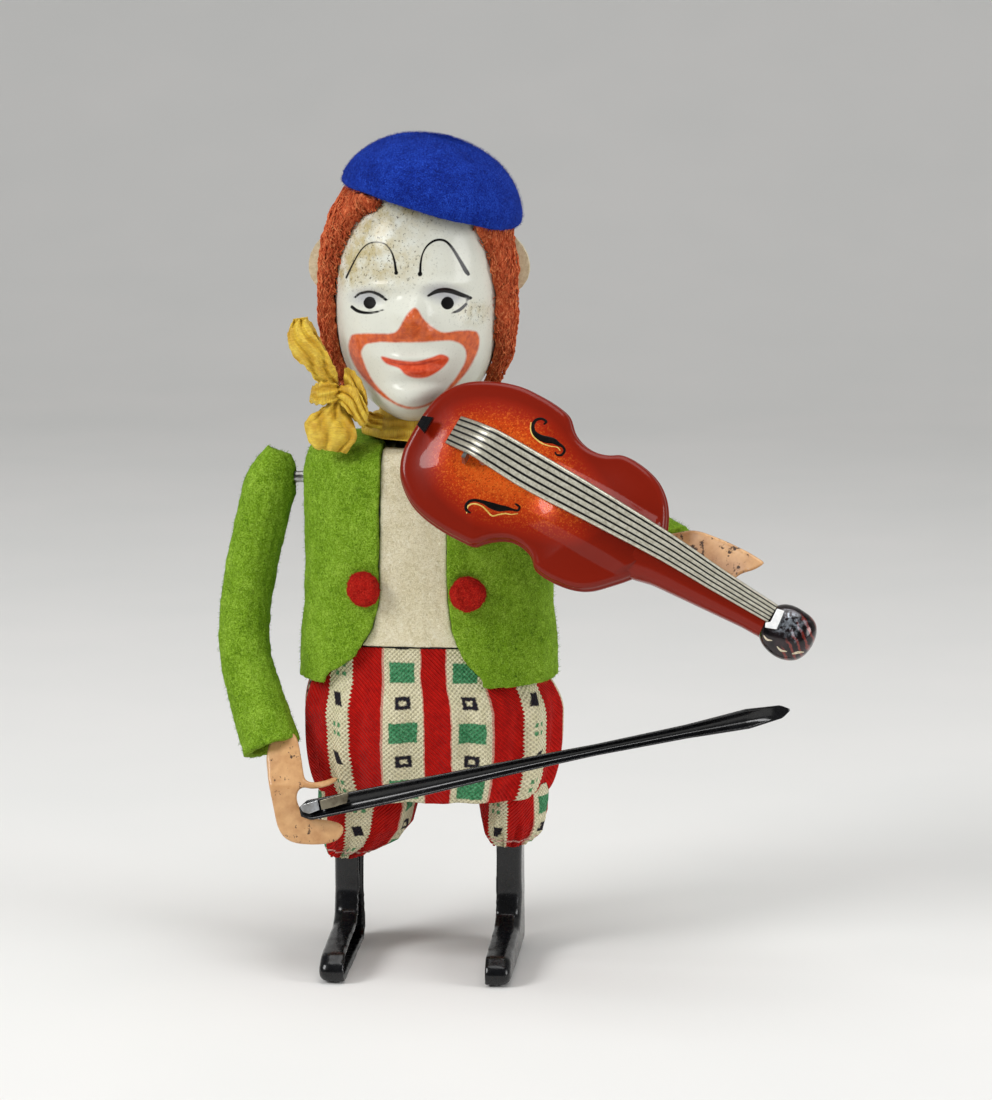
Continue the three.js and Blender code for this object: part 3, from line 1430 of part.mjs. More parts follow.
function makeYokeLink() {
  const slotHalf = smallPinRadius + fitGap;
  const pinZ = secondZ - crankRadius;
  const web = smallPinRadius * 1.6;
  const slotEnd = secondX + crankRadius + slotHalf;
  const slotStart = secondX - crankRadius - slotHalf;
  const band = slotHalf + web;
  const [left, right] = [guidePinX - smallPinRadius * 2.2, guidePinX + smallPinRadius * 2.2];
  const tailLow = guidePinZ - leverTravel() - slotHalf - web;
  const [, headMiddle] = leverPin(0);
  const headLow = headMiddle - slotHalf - web;
  const headTop = headMiddle + slotHalf + web;
  const outline = [
    [left, tailLow],
    [right, tailLow],
    [right, pinZ - band],
    [slotEnd + web, pinZ - band],
    [slotEnd + web, pinZ + band],
    [right, pinZ + band],
    [right, headTop - web],
    [left, headTop - web],
  ];
  const crankSlot = rectangle(slotStart, slotEnd, pinZ - slotHalf, pinZ + slotHalf);
  const guideHalf = smallPinRadius + runGap;
  const guideSlot = rectangle(
    guidePinX - guideHalf, guidePinX + guideHalf,
    guidePinZ - leverTravel() - slotHalf, guidePinZ + slotHalf,
  );
  const face = alongY(polygon(outline, [crankSlot, guideSlot]), yokeFrontY, yokeBackY);
  const slotNear = -leverLength * Math.cos(THREE.MathUtils.degToRad(leverRestDegrees)) + slotHalf;
  const slotFar = -leverLength - slotHalf;
  const head = [
    [yokeFrontY, headLow],
    [slotNear + web, headLow],
    [slotNear + web, headTop],
    [yokeFrontY + web, headTop],
    [yokeFrontY, headTop - web],
  ];
  const leverSlot = rectangle(slotFar, slotNear, headMiddle - slotHalf, headMiddle + slotHalf);
  add('yoke_link', join(face, alongX(polygon(head, [leverSlot]), linkX, linkX + plate)), looks.steel);
  const pin = rodY(smallPinRadius, guideHeadY, frontPlateY, guidePinX, guidePinZ, 10);
  const pinHead = rodY(guideHeadRadius, guideEndY, guideHeadY, guidePinX, guidePinZ);
  const shoulder = rodY(guideHeadRadius, yokeBackY + fitGap, frontPlateY, guidePinX, guidePinZ);
  add('yoke_guide_pin', join(pin, pinHead, shoulder), looks.steel);
}

function makeArmShaft() {
  const bossRadius = shaftRadius * 2;
  const tipRadius = smallPinRadius * 1.8;
  const [pinY, pinZ] = leverPin(0);
  const shaftEnd = rightShoulder.x - armRadius / 2;
  add('arm_shaft', rodX(shaftRadius, shaftEnd, shaftInner, 0, shoulderZ), looks.steel);
  const slope = THREE.MathUtils.degToRad(leverRestDegrees);
  const [sideY, sideZ] = [Math.sin(slope), Math.cos(slope)];
  const web = alongX(polygon([
    [bossRadius * sideY, shoulderZ - bossRadius * sideZ],
    [pinY + tipRadius * sideY, pinZ - tipRadius * sideZ],
    [pinY - tipRadius * sideY, pinZ + tipRadius * sideZ],
    [-bossRadius * sideY, shoulderZ + bossRadius * sideZ],
  ]), leverX, leverX + plate);
  const boss = rodX(bossRadius, leverX, leverX + plate, 0, shoulderZ);
  const tip = rodX(tipRadius, leverX, leverX + plate, pinY, pinZ, 10);
  const pin = rodX(smallPinRadius, linkX - runGap * 3, leverX, pinY, pinZ, 10);
  const bore = rodX(shaftRadius + runGap / 6, linkX - overrun, 0, 0, shoulderZ);
  add('arm_lever', cut(join(web, boss, tip, pin), bore), looks.steel);
}

function makeArmBracket() {
  const low = shoulderZ - shaftRadius * 3.75;
  const high = backPlateTop;
  const nose = shaftRadius * 2.4;
  const ear = polygon(
    [
      [backPlateY, low], [backPlateY, high], [0, high], [-nose, shoulderZ + nose / 2],
      [-nose, shoulderZ - nose * 0.75], [nose / 2, low],
    ],
    [circle(shaftRadius + runGap, 12, 0, shoulderZ)],
  );
  const web = block(earX, earInnerX + plate, backPlateY - plate, backPlateY, low, high);
  const ears = [earX, earInnerX].map((x) => alongX(ear, x, x + plate));
  add('arm_bracket', join(web, ...ears), looks.steel);
}

// Winding key: a square socket, a stem and two wings

// Half outline of a wing, out from the stem and up, as shares of the key's span and half height
const wingShares = [[0, -0.36], [0.22, -0.36], [0.62, -1], [0.89, -0.89], [1, 0], [0.89, 0.89], [0.62, 1],
  [0.22, 0.36], [0, 0.36]];
const wingHeightShare = 0.57;

function makeKey() {
  const start = bodyHalfDepth + felt + jacketFlare + fitGap * 3;
  const half = squareSide / 2 + runGap;
  const thick = plate * 2;
  const socketRadius = squareSide * 1.05;
  const socketEnd = start + keyReach * 1.3;
  const socket = alongY(polygon(circle(socketRadius, 16, 0, arborZ)), start, socketEnd);
  const square = rectangle(-half, half, arborZ - half, arborZ + half);
  const bore = alongY(polygon(square), start - overrun, socketEnd - thick);
  const tall = keySpan * wingHeightShare;
  const middleY = socketEnd + tall * 0.72;
  const wings = [-1, 1].map((side) => {
    const places = wingShares.map(([out, up]) => [side * keySpan * out, middleY + tall * up]);
    return alongZ(polygon(places), arborZ - plate, arborZ + plate);
  });
  const stemHalf = tall * 0.36;
  const stem = block(-stemHalf, stemHalf, socketEnd - plate, middleY, arborZ - plate, arborZ + plate);
  add('winding_key', cut(join(socket, stem, ...wings), bore), looks.steel);
}

makeBodyShell();
makeBasePlate();
makeNeckTube();
makeLeg('right_leg', -1);
makeLeg('left_leg', 1);
makeHead();
makeHair();
makeBeret();
makeJacket();
makeShirt();
Object.keys(buttonPlaceShares).forEach(makeButton);
makeTrousersSeat();
Object.keys(trouserLegs).forEach(makeTrouserLeg);
makeBowArm();
makeBow();
makeLeftArm();
makeViolinTop();
makeViolinBack();
makeStringStrip();
makeBridge();
makeTailpiece();
makePegHead();
makeRibbon();
makeMotorFrame();
makeGreatWheel();
makeMainspring();
makeWindingArbor();
makeClick();
makeClickSpring();
makeSecondWheel();
makeWeightArbor();
makeYokeLink();
makeArmShaft();
makeArmBracket();
makeKey();

// The origin moves to the middle of the bounding box on the floor
const part = new THREE.Group();
part.add(figure);
part.updateMatrixWorld(true);
const reach = new THREE.Box3().setFromObject(part, true);
figure.position.set(-(reach.min.x + reach.max.x) / 2, -(reach.min.y + reach.max.y) / 2, -reach.min.z);

export default part;
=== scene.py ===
"""Looks of a clockwork clown that plays a violin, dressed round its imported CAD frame.

Shapes are worked out in millimetres from the middle of the body, and turned into metres in the
row frame when their mesh is made.
"""

import json
import math

import bmesh
import bpy
import numpy as np
from mathutils import Matrix, Vector
from mathutils.bvhtree import BVHTree

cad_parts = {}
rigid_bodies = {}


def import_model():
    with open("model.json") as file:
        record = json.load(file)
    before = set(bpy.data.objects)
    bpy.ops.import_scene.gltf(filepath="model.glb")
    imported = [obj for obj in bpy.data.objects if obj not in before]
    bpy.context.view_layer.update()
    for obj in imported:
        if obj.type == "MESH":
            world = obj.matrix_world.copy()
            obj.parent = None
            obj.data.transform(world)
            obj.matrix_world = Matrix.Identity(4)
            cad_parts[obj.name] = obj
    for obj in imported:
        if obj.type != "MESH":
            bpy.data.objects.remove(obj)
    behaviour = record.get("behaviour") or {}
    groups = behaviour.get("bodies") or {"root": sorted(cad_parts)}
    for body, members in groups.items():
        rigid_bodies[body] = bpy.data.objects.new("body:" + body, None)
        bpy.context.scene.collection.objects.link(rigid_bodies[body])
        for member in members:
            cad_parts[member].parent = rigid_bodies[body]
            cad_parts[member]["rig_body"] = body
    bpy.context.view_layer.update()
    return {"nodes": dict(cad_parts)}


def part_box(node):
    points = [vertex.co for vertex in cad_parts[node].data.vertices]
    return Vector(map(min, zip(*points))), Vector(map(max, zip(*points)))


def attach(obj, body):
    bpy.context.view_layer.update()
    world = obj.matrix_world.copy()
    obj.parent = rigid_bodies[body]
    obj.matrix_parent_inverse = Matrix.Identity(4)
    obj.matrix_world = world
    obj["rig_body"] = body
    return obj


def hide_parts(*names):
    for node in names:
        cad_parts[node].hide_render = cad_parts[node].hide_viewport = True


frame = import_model()

MM = 0.001
body_low, body_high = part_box("body_shell")
SHIFT = np.array([(body_low.x + body_high.x) / 2, (body_low.y + body_high.y) / 2, 0]) / MM

# Camera: the photograph's direction, distance and scale

PHOTO_WIDTH, PHOTO_HEIGHT = 992, 1100
AZIMUTH, ELEVATION = math.radians(5), math.radians(10)
DISTANCE = 600
PIXEL = 0.138
SENSOR = 36
BACK = np.array([
    math.sin(AZIMUTH) * math.cos(ELEVATION),
    -math.cos(AZIMUTH) * math.cos(ELEVATION),
    math.sin(ELEVATION),
])
RIGHT = np.array([math.cos(AZIMUTH), math.sin(AZIMUTH), 0])
UP = np.cross(BACK, RIGHT)
TARGET = 9.25 * RIGHT + np.array([0, 0, 56.3])
EYE = TARGET + DISTANCE * BACK


def make_camera():
    camera = bpy.data.objects.new("camera", bpy.data.cameras.new("camera"))
    bpy.context.scene.collection.objects.link(camera)
    turn = Matrix([[*row] for row in np.stack([RIGHT, UP, BACK], axis=1)]).to_4x4()
    camera.matrix_world = Matrix.Translation(Vector((EYE + SHIFT) * MM)) @ turn
    camera.data.sensor_width = SENSOR
    camera.data.lens = SENSOR * DISTANCE / (PIXEL * PHOTO_HEIGHT)
    camera.data.clip_start = 0.01
    camera.data.clip_end = 20
    bpy.context.scene.camera = camera


def seen(points):
    """Where points show in the photograph, in its pixels."""
    away = np.asarray(points, float) - EYE
    depth = -(away @ BACK)
    across = away @ RIGHT / depth * DISTANCE / PIXEL
    rise = away @ UP / depth * DISTANCE / PIXEL
    return np.stack([PHOTO_WIDTH / 2 + across, PHOTO_HEIGHT / 2 - rise], axis=-1)


def ray(across, down):
    """The direction in which a pixel of the photograph looks."""
    side = (across - PHOTO_WIDTH / 2) * PIXEL
    rise = (PHOTO_HEIGHT / 2 - down) * PIXEL
    way = side * RIGHT + rise * UP - DISTANCE * BACK
    return way / np.linalg.norm(way)


def at_depth(across, down, y):
    """The point that a pixel shows on the upright plane at that y."""
    way = ray(across, down)
    return EYE + way * (y - EYE[1]) / way[1]


# Meshes

def link(name, mesh):
    obj = bpy.data.objects.new(name, mesh)
    bpy.context.scene.collection.objects.link(obj)
    return obj


def piece(name, points, faces, look, body="figure"):
    """A piece made of points in millimetres, with its look, riding on its body."""
    mesh = bpy.data.meshes.new(name)
    mesh.from_pydata([tuple(p) for p in (np.asarray(points) + SHIFT) * MM], [], faces)
    mesh.validate()
    mesh.shade_smooth()
    obj = link(name, mesh)
    mesh.materials.append(LOOKS[look])
    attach(obj, body)
    return obj


def stands(obj, slot, *nodes):
    """Hides the CAD nodes that a piece stands for; the piece and its slot are not used."""
    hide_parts(*nodes)


def grid_faces(rows, columns, around=False, capped=False, first=0):
    """Quads over a grid of points kept row by row and numbered from the first.

    The grid may close round its columns, and its end rows may be filled.
    """
    faces = []
    for near in range(0, (rows - 1) * columns, columns):
        for c in range(columns if around else columns - 1):
            after = (c + 1) % columns
            faces.append((near + c, near + after, near + columns + after, near + columns + c))
    if capped:
        faces.append(tuple(reversed(range(columns))))
        faces.append(tuple(range((rows - 1) * columns, rows * columns)))
    return [tuple(first + k for k in face) for face in faces]


def circle(count):
    """Evenly spaced turns round a circle."""
    return np.linspace(0, 2 * math.pi, count, endpoint=False)


def unit(way):
    return way / np.linalg.norm(way)


def vectors_of(values, name, count):
    flat = np.zeros(count * 3)
    values.foreach_get(name, flat)
    return flat.reshape(-1, 3)


def points_of(mesh):
    return vectors_of(mesh.vertices, "co", len(mesh.vertices)) / MM - SHIFT


def normals_of(mesh):
    return vectors_of(mesh.vertex_normals, "vector", len(mesh.vertices))


def put_points(mesh, points):
    mesh.vertices.foreach_set("co", ((points + SHIFT) * MM).ravel())
    mesh.update()


def tree_of(obj):
    """A tree of the piece's faces, to find the nearest or the first that a ray meets."""
    points = [Vector(p) for p in points_of(obj.data)]
    return BVHTree.FromPolygons(points, [tuple(f.vertices) for f in obj.data.polygons])


def mark(obj, **values):
    """Keeps a value for each point of the mesh, under each name."""
    for name, value in values.items():
        attribute = obj.data.attributes.new(name, "FLOAT", "POINT")
        attribute.data.foreach_set("value", np.asarray(value, np.float32))


def flipped(obj):
    """Turns a mesh's faces outwards, away from its own middle."""
    points = points_of(obj.data)
    if np.einsum("ij,ij->", points - points.mean(axis=0), normals_of(obj.data)) < 0:
        obj.data.flip_normals()


def modified(obj, kind, **settings):
    """Puts the result of a modifier in place of the object's mesh."""
    modifier = obj.modifiers.new(kind.lower(), kind)
    for key, value in settings.items():
        setattr(modifier, key, value)
    shown = obj.evaluated_get(bpy.context.evaluated_depsgraph_get())
    mesh = bpy.data.meshes.new_from_object(shown)
    obj.modifiers.clear()
    obj.data = mesh
    return mesh


def shelled(obj, thick):
    """Gives a surface its thickness, on the side away from its normals."""
    modified(obj, "SOLIDIFY", thickness=thick * MM)


def remeshed(obj, voxel, rounds):
    """Gives an object an even, eased mesh."""
    eased(modified(obj, "REMESH", mode="VOXEL", voxel_size=voxel * MM), rounds)
    obj.data.shade_smooth()


def eased(mesh, rounds):
    """Evens a mesh without shrinking it: each round pulls the points in and pushes them out."""
    ends = np.zeros(len(mesh.edges) * 2, np.int64)
    mesh.edges.foreach_get("vertices", ends)
    a, b = ends.reshape(-1, 2).T
    points = points_of(mesh)
    count = np.maximum(np.bincount(np.concatenate([a, b]), minlength=len(points)), 1)
    for _ in range(rounds):
        for pull in (0.5, -0.53):
            total = np.stack([
                np.bincount(a, points[b, k], len(points))
                + np.bincount(b, points[a, k], len(points)) for k in range(3)
            ], axis=1)
            points = points + pull * (total / count[:, None] - points)
    put_points(mesh, points)


def refined(node, look, slot, voxel, rounds, layers=()):
    """A fine, eased and roughened copy of a CAD node's form that stands for the node."""
    source = frame["nodes"][node]
    mesh = source.data.copy()
    welded = bmesh.new()
    welded.from_mesh(mesh)
    bmesh.ops.remove_doubles(welded, verts=welded.verts, dist=1e-7)
    welded.to_mesh(mesh)
    welded.free()
    mesh.materials.clear()
    obj = link(node + "_look", mesh)
    remeshed(obj, voxel, rounds)
    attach(obj, source["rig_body"])
    if layers:
        roughened(obj, layers)
    obj.data.materials.append(LOOKS[look])
    stands(obj, slot, node)
    return obj


def grain(points, cell, seed=0):
    """Smooth noise from -1 to 1 with cells of that size, the same each time."""
    place = np.asarray(points, float) / cell + 731.7
    low = np.floor(place).astype(np.int64)
    part = place - low
    part = part * part * (3 - 2 * part)
    total = np.zeros(len(place))
    for corner in range(8):
        step = np.array([corner & 1, (corner >> 1) & 1, corner >> 2])
        x, y, z = (low + step).T
        key = (x * 73856093) ^ (y * 19349663) ^ (z * 83492791) ^ (seed * 2654435761)
        key &= 0xFFFFFF
        key = (key * (key * key % 1000003 * 15731 + 789221) + 1376312589) & 0x7FFFFFFF
        weight = np.prod(np.where(step, part, 1 - part), axis=1)
        total += weight * (key / 0x3FFFFFFF - 1)
    return total


def roughened(obj, layers):
    """Moves a mesh along its normals by layers of noise, each (cell, height, seed)."""
    points = points_of(obj.data)
    move = sum(height * grain(points, cell, seed) for cell, height, seed in layers)
    put_points(obj.data, points + normals_of(obj.data) * move[:, None])


def power(value, exponent):
    return np.sign(value) * np.abs(value) ** exponent


def oval(half_x, half_y, turns, exponent=2.5):
    return half_x * power(np.cos(turns), 2 / exponent), half_y * power(np.sin(turns), 2 / exponent)


def bell(value, spread):
    return np.exp(-0.5 * (value / spread) ** 2)


def swellings(across, up, rows):
    """A sum of soft bumps, each given by its middle, its spreads and its height."""
    return sum(
        high * bell(across - x, wide) * bell(up - y, tall) for x, y, wide, tall, high in rows
    )


def smooth_step(value):
    value = np.clip(value, 0, 1)
    return value * value * (3 - 2 * value)


def arc_lengths(ring):
    """How far each point of a closed line lies along it, and the whole length."""
    step = np.linalg.norm(np.diff(np.vstack([ring, ring[:1]]), axis=0), axis=1)
    return np.concatenate([[0], np.cumsum(step)])


# Lines and areas on a plane, with signed distances for painted shapes

def curve(points, steps=12, closed=False):
    """A smooth line through points, as rows of any width."""
    points = np.asarray(points, float)
    count = len(points)
    parts = np.arange(steps)[:, None] / steps
    rows = []
    for k in range(count if closed else count - 1):
        if closed:
            a, b, c, d = (points[(k + i) % count] for i in (-1, 0, 1, 2))
        else:
            b, c = points[k], points[k + 1]
            a = points[k - 1] if k else 2 * b - c
            d = points[k + 2] if k + 2 < count else 2 * c - b
        rows.append(0.5 * (
            2 * b + (c - a) * parts + (2 * a - 5 * b + 4 * c - d) * parts ** 2
            + (3 * b - a - 3 * c + d) * parts ** 3
        ))
    return np.vstack(rows if closed else rows + [points[-1:]])


def line_distance(places, line):
    """How far places lie outside a line of rows (across, down, half width)."""
    best = np.full(len(places), 1e9)
    for start, end in zip(line[:-1], line[1:]):
        way = end[:2] - start[:2]
        along = np.clip((places - start[:2]) @ way / max(way @ way, 1e-12), 0, 1)
        gap = np.linalg.norm(places - start[:2] - along[:, None] * way, axis=1)
        best = np.minimum(best, gap - (start[2] + along * (end[2] - start[2])))
    return best


def area_distance(places, outline):
    """How far places lie outside a closed outline; inside it is negative."""
    closed = np.vstack([outline, outline[:1]])
    flat = np.column_stack([closed, np.zeros(len(closed))])
    inside = np.zeros(len(places), bool)
    for (x0, y0), (x1, y1) in zip(closed[:-1], closed[1:]):
        if y0 == y1:
            continue
        crosses = (y0 > places[:, 1]) != (y1 > places[:, 1])
        inside ^= crosses & (places[:, 0] < (x1 - x0) * (places[:, 1] - y0) / (y1 - y0) + x0)
    gap = line_distance(places, flat)
    return np.where(inside, -gap, gap)


# Materials

def colour(code):
    """A colour such as "a0c040" as it is written, in the renderer's light."""
    parts = [int(code[k:k + 2], 16) / 255 for k in (0, 2, 4)]
    return (*(p / 12.92 if p <= 0.04045 else ((p + 0.055) / 1.055) ** 2.4 for p in parts), 1)


def operator(name, swapped=False):
    def apply(self, other=0.0):
        return self.look.math(name, *((other, self) if swapped else (self, other)))
    return apply


class Value:
    """A node's output. Sums, products and comparisons of values make math nodes."""

    def __init__(self, look, socket):
        self.look, self.socket = look, socket

    __add__ = operator("ADD")
    __sub__, __rsub__ = operator("SUBTRACT"), operator("SUBTRACT", swapped=True)
    __mul__, __mod__ = operator("MULTIPLY"), operator("FLOORED_MODULO")
    __gt__, __lt__, __abs__ = operator("GREATER_THAN"), operator("LESS_THAN"), operator("ABSOLUTE")


class Look:
    """A material, with short calls for its nodes. A colour is given by its code."""

    def __init__(self, name, **settings):
        self.material = bpy.data.materials.new(name)
        self.material.use_nodes = True
        self.tree = self.material.node_tree
        self.shader = self.tree.nodes["Principled BSDF"]
        self.made(**settings)

    def made(self, **values):
        """Joins values to the shader's sockets of those names, and gives the material."""
        for key, value in values.items():
            socket = key.replace("_", " ").title().replace("Ior", "IOR")
            self.join(self.shader.inputs[socket], value)
        return self.material

    def join(self, socket, value):
        if isinstance(value, Value):
            self.tree.links.new(value.socket, socket)
        else:
            socket.default_value = colour(value) if isinstance(value, str) else value

    def node(self, kind, inputs, out=0, **settings):
        made = self.tree.nodes.new("ShaderNode" + kind)
        for key, value in settings.items():
            setattr(made, key, value)
        for key, value in inputs.items():
            self.join(made.inputs[key], value)
        return Value(self, made.outputs[out])

    def math(self, operation, a, b=0.0, clamp=False):
        return self.node("Math", {0: a, 1: b}, operation=operation, use_clamp=clamp)

    def vector(self, operation, a, b, out=0):
        return self.node("VectorMath", {0: a, 1: b}, out, operation=operation)

    def sine(self, value, rate):
        return self.math("SINE", value * rate)

    def place(self, stretch=(1, 1, 1)):
        """The point on the piece at rest, in millimetres from the middle of the body."""
        spot = self.node("TexCoord", {}, "Object")
        shifted = self.vector("SUBTRACT", spot, tuple(SHIFT * MM))
        return self.vector("MULTIPLY", shifted, tuple(s / MM for s in stretch))

    def noise(self, place, size, detail=4, roughness=0.6, distortion=0.0):
        return self.node("TexNoise", {
            "Vector": place, "Scale": 1 / size, "Detail": detail,
            "Roughness": roughness, "Distortion": distortion,
        })

    def ramp(self, value, *stops):
        """A ramp through stops: each a place, then a colour's code or a grey."""
        made = self.tree.nodes.new("ShaderNodeValToRGB")
        while len(made.color_ramp.elements) < len(stops) / 2:
            made.color_ramp.elements.new(1)
        for element, at, shade in zip(made.color_ramp.elements, stops[::2], stops[1::2]):
            element.position = at
            element.color = colour(shade) if isinstance(shade, str) else (shade,) * 3 + (1,)
        self.join(made.inputs[0], value)
        return Value(self, made.outputs[0])

    def mix(self, share, a, b):
        return self.node("Mix", {0: share, 6: a, 7: b}, 2, data_type="RGBA")

    def read(self, name):
        """The value that the mesh keeps under a name."""
        return self.node("Attribute", {}, "Fac", attribute_name=name)

    def inside(self, distance, edge):
        """1 inside a signed distance and 0 outside it, over a soft edge of that width."""
        return self.math("ADD", self.math("DIVIDE", distance, -edge), 0.5, clamp=True)

    def bump(self, height, depth, strength=1.0, under=None):
        inputs = {"Height": height, "Distance": depth * MM, "Strength": strength}
        if under is not None:
            inputs["Normal"] = under
        return self.node("Bump", inputs)


def felt_look(name, dark, middle, light, fibre=0.42, sheen=0.1, depth=0.16):
    """Matted wool: a fine tangle in three tones, with single light and dark threads over it."""
    look = Look(name, roughness=0.95, sheen_weight=sheen, sheen_roughness=0.5, sheen_tint=light,
                specular_ior_level=0.15)
    place = look.place()
    tangle = look.noise(place, fibre, 5, 0.65, 2.2)
    tone = tangle * 0.8 + look.noise(place, 4.0, 2) * 0.2
    shade = look.ramp(tone, 0.34, dark, 0.5, middle, 0.64, light)
    for stretch, tone, share in (((1, 1, 0.5), light, 0.7), ((0.6, 1, 1.2), dark, 0.6)):
        ridge = abs(look.noise(look.place(stretch), 0.62, 2, 0.5, 1.2) - 0.5)
        shade = look.mix(look.inside(ridge - 0.012, 0.02) * share, shade, tone)
    return look.made(base_color=shade, normal=look.bump(tangle, depth))


def metal_look(name, shade, stain, roughness=0.32):
    """Metal with dull patches and fine scratches."""
    look = Look(name, metallic=1.0)
    patches = look.noise(look.place(), 3.2, 5)
    scratches = look.noise(look.place((1, 1, 14)), 1.4, 3)
    return look.made(
        base_color=look.ramp(patches, 0.38, stain, 0.55, shade),
        roughness=patches * 0.25 + (roughness - 0.1), normal=look.bump(scratches, 0.02),
    )


def plain_look(name, dark, light, roughness=0.4, shine=0.5):
    look = Look(name, roughness=roughness, specular_ior_level=shine)
    place = look.place()
    shade = look.ramp(look.noise(place, 0.6, 5, 0.7), 0.35, dark, 0.65, light)
    return look.made(base_color=shade, normal=look.bump(look.noise(place, 0.4, 3), 0.01))


def black_look():
    """Black lacquer, rubbed through to the tin in places."""
    look = Look("black_lacquer", coat_weight=0.25, coat_roughness=0.1, specular_ior_level=0.35)
    place = look.place()
    rubs = look.noise(place, 0.9, 6, 0.75)
    worn = look.ramp(look.noise(place, 5.0, 2), 0.5, 0.0, 0.6, 1.0)
    bare = look.ramp(rubs, 0.66, 0.0, 0.69, 1.0) * worn
    shade = look.ramp(look.noise(place, 2.5), 0.35, "030304", 0.7, "0b0c10")
    return look.made(
        base_color=look.mix(bare, shade, "8d8f92"), metallic=bare * 0.9,
        roughness=rubs * 0.3 + 0.12, normal=look.bump(look.noise(place, 0.7), 0.012),
    )


def flesh_look(name, chipped):
    """Mottled flesh lacquer; its chips start at that level of the noise."""
    look = Look(name, coat_weight=0.25, coat_roughness=0.25)
    place = look.place()
    mottle = look.ramp(look.noise(place, 2.4), 0.35, "be8a58", 0.65, "d9a974")
    freckles = look.ramp(look.noise(place, 0.5, 3), 0.28, 1.0, 0.33, 0.0)
    paint = look.mix(freckles * 0.5, mottle, "b5773f")
    bare = look.ramp(look.noise(place, 1.3, 6, 0.7), chipped, 0.0, chipped + 0.02, 1.0)
    return look.made(
        base_color=look.mix(bare, paint, "4d3524"), roughness=bare * 0.4 + 0.33,
        normal=look.bump(bare, -0.05, 0.6),
    )


def face_look():
    """White enamel with the face painted on it, from signed distances kept on the mesh."""
    look = Look("face_lacquer", coat_weight=0.15, coat_roughness=0.1, specular_ior_level=0.22)
    place, aged = look.place(), look.read("aged")
    ageing, sprayed = look.noise(place, 2.2, 5, 0.65), look.noise(place, 0.8)
    yellowed = aged * look.ramp(ageing, 0.36, 0.0, 0.62, 1.0)
    shown = look.mix(yellowed * 0.85, "dcddd1", "b7a672")
    shown = look.mix(look.inside(look.read("shade"), 9.0) * 0.55, shown, "8d8fa3")
    grime = look.ramp(look.noise(place, 0.34, 4, 0.7), 0.58, 0.0, 0.62, 1.0)
    specks = grime * look.math("ADD", aged * 1.4, 0.12, clamp=True)
    shown = look.mix(specks * 0.8, shown, "4b4536")
    worn = look.noise(place, 1.6) * 2.2 - 1.1
    orange = look.ramp(sprayed, 0.35, "ba430f", 0.65, "e06620")
    shown = look.mix(look.inside(look.read("red") + worn, 2.2) * 0.96, shown, orange)
    rosy = look.ramp(sprayed, 0.35, "c8401f", 0.65, "e5603c")
    shown = look.mix(look.inside(look.read("lips"), 2.0), shown, rosy)
    shown = look.mix(look.inside(look.read("seam"), 1.6) * 0.7, shown, "8f1f10")
    shown = look.mix(look.inside(look.read("black"), 0.8), shown, "0d0c0d")
    return look.made(
        base_color=shown, roughness=ageing * 0.2 + 0.12,
        normal=look.bump(look.noise(place, 1.1, 3), 0.05, 0.6),
    )


def violin_look():
    """Dark red lacquer that turns orange at the face's middle, with metal flakes there."""
    look = Look("violin_lacquer", coat_weight=0.3, coat_roughness=0.05, roughness=0.3,
                specular_ior_level=0.1)
    place, burst = look.place(), look.read("burst")
    flakes = look.node("TexVoronoi", {"Vector": place, "Scale": 1 / 0.17}, "Color")
    flake = look.vector("DOT_PRODUCT", flakes, (0.5, 0.3, 0.2), 1)
    centre = look.ramp(burst, 0.25, 1.0, 0.85, 0.0)
    shade = look.ramp(burst, 0.0, "e8601c", 0.3, "c8410f", 0.65, "9c2109", 1.0, "7c1907")
    shade = look.mix(look.ramp(flake, 0.56, 0.0, 0.8, 1.0) * centre * 0.65, shade, "f0802c")
    shade = look.mix(look.ramp(flake, 0.2, 1.0, 0.4, 0.0) * centre * 0.5, shade, "7a1d08")
    return look.made(
        base_color=shade, metallic=centre * 0.15,
        normal=look.bump(look.noise(place, 0.5, 3), 0.015),
    )


# The violin's own directions: along it, across it and out of its face
VIOLIN_U = np.array([0.8723, -0.2277, -0.4327])
VIOLIN_V = np.array([0.4855, 0.2990, 0.8215])
VIOLIN_N = np.array([-0.0577, -0.9267, 0.3714])
# Along: where the scroll's bars begin and its painted highlight is centred; across: the middle of that
# painted highlight
SCROLL_PLACE = (28.0, 58.7)
STRING_LINES = 2.75


def scroll_look():
    """Dark plated tin: slanted red-brown bars at its end, and a painted pale highlight at its middle.
    """
    look = Look("scroll_lacquer", coat_weight=0.7, coat_roughness=0.08)
    place = look.place()
    along, across = (
        look.vector("DOT_PRODUCT", place, tuple(way), 1) for way in (VIOLIN_U, VIOLIN_V)
    )
    wobble = look.noise(place, 1.5, 3)
    bars = look.sine(along * 0.58 + across * 0.81 + wobble, 6.0)
    far = along - SCROLL_PLACE[0]
    red = look.ramp(bars, 0.45, 0.0, 0.6, 1.0) * look.ramp(far, 0.1, 0.0, 0.9, 1.0)
    # Painted highlight: a pale speckled patch round the scroll's middle, mixed into its colour in place
    # of a reflection
    off = look.math("MAXIMUM", abs(far), abs(across - SCROLL_PLACE[1]))
    near = look.ramp(off * 0.4, 0.3, 1.0, 0.8, 0.0)
    shine = look.ramp(look.noise(place, 0.55, 4, 0.7), 0.45, 0.0, 0.58, 1.0) * near
    shade = look.mix(red, look.ramp(wobble, 0.35, "0d0b0d", 0.7, "34262a"), "6e1d12")
    return look.made(
        base_color=look.mix(shine * 0.85, shade, "c3ccd6"), metallic=0.8 - red * 0.6,
        roughness=wobble * 0.25 + 0.1, normal=look.bump(look.noise(place, 0.8, 3), 0.05),
    )


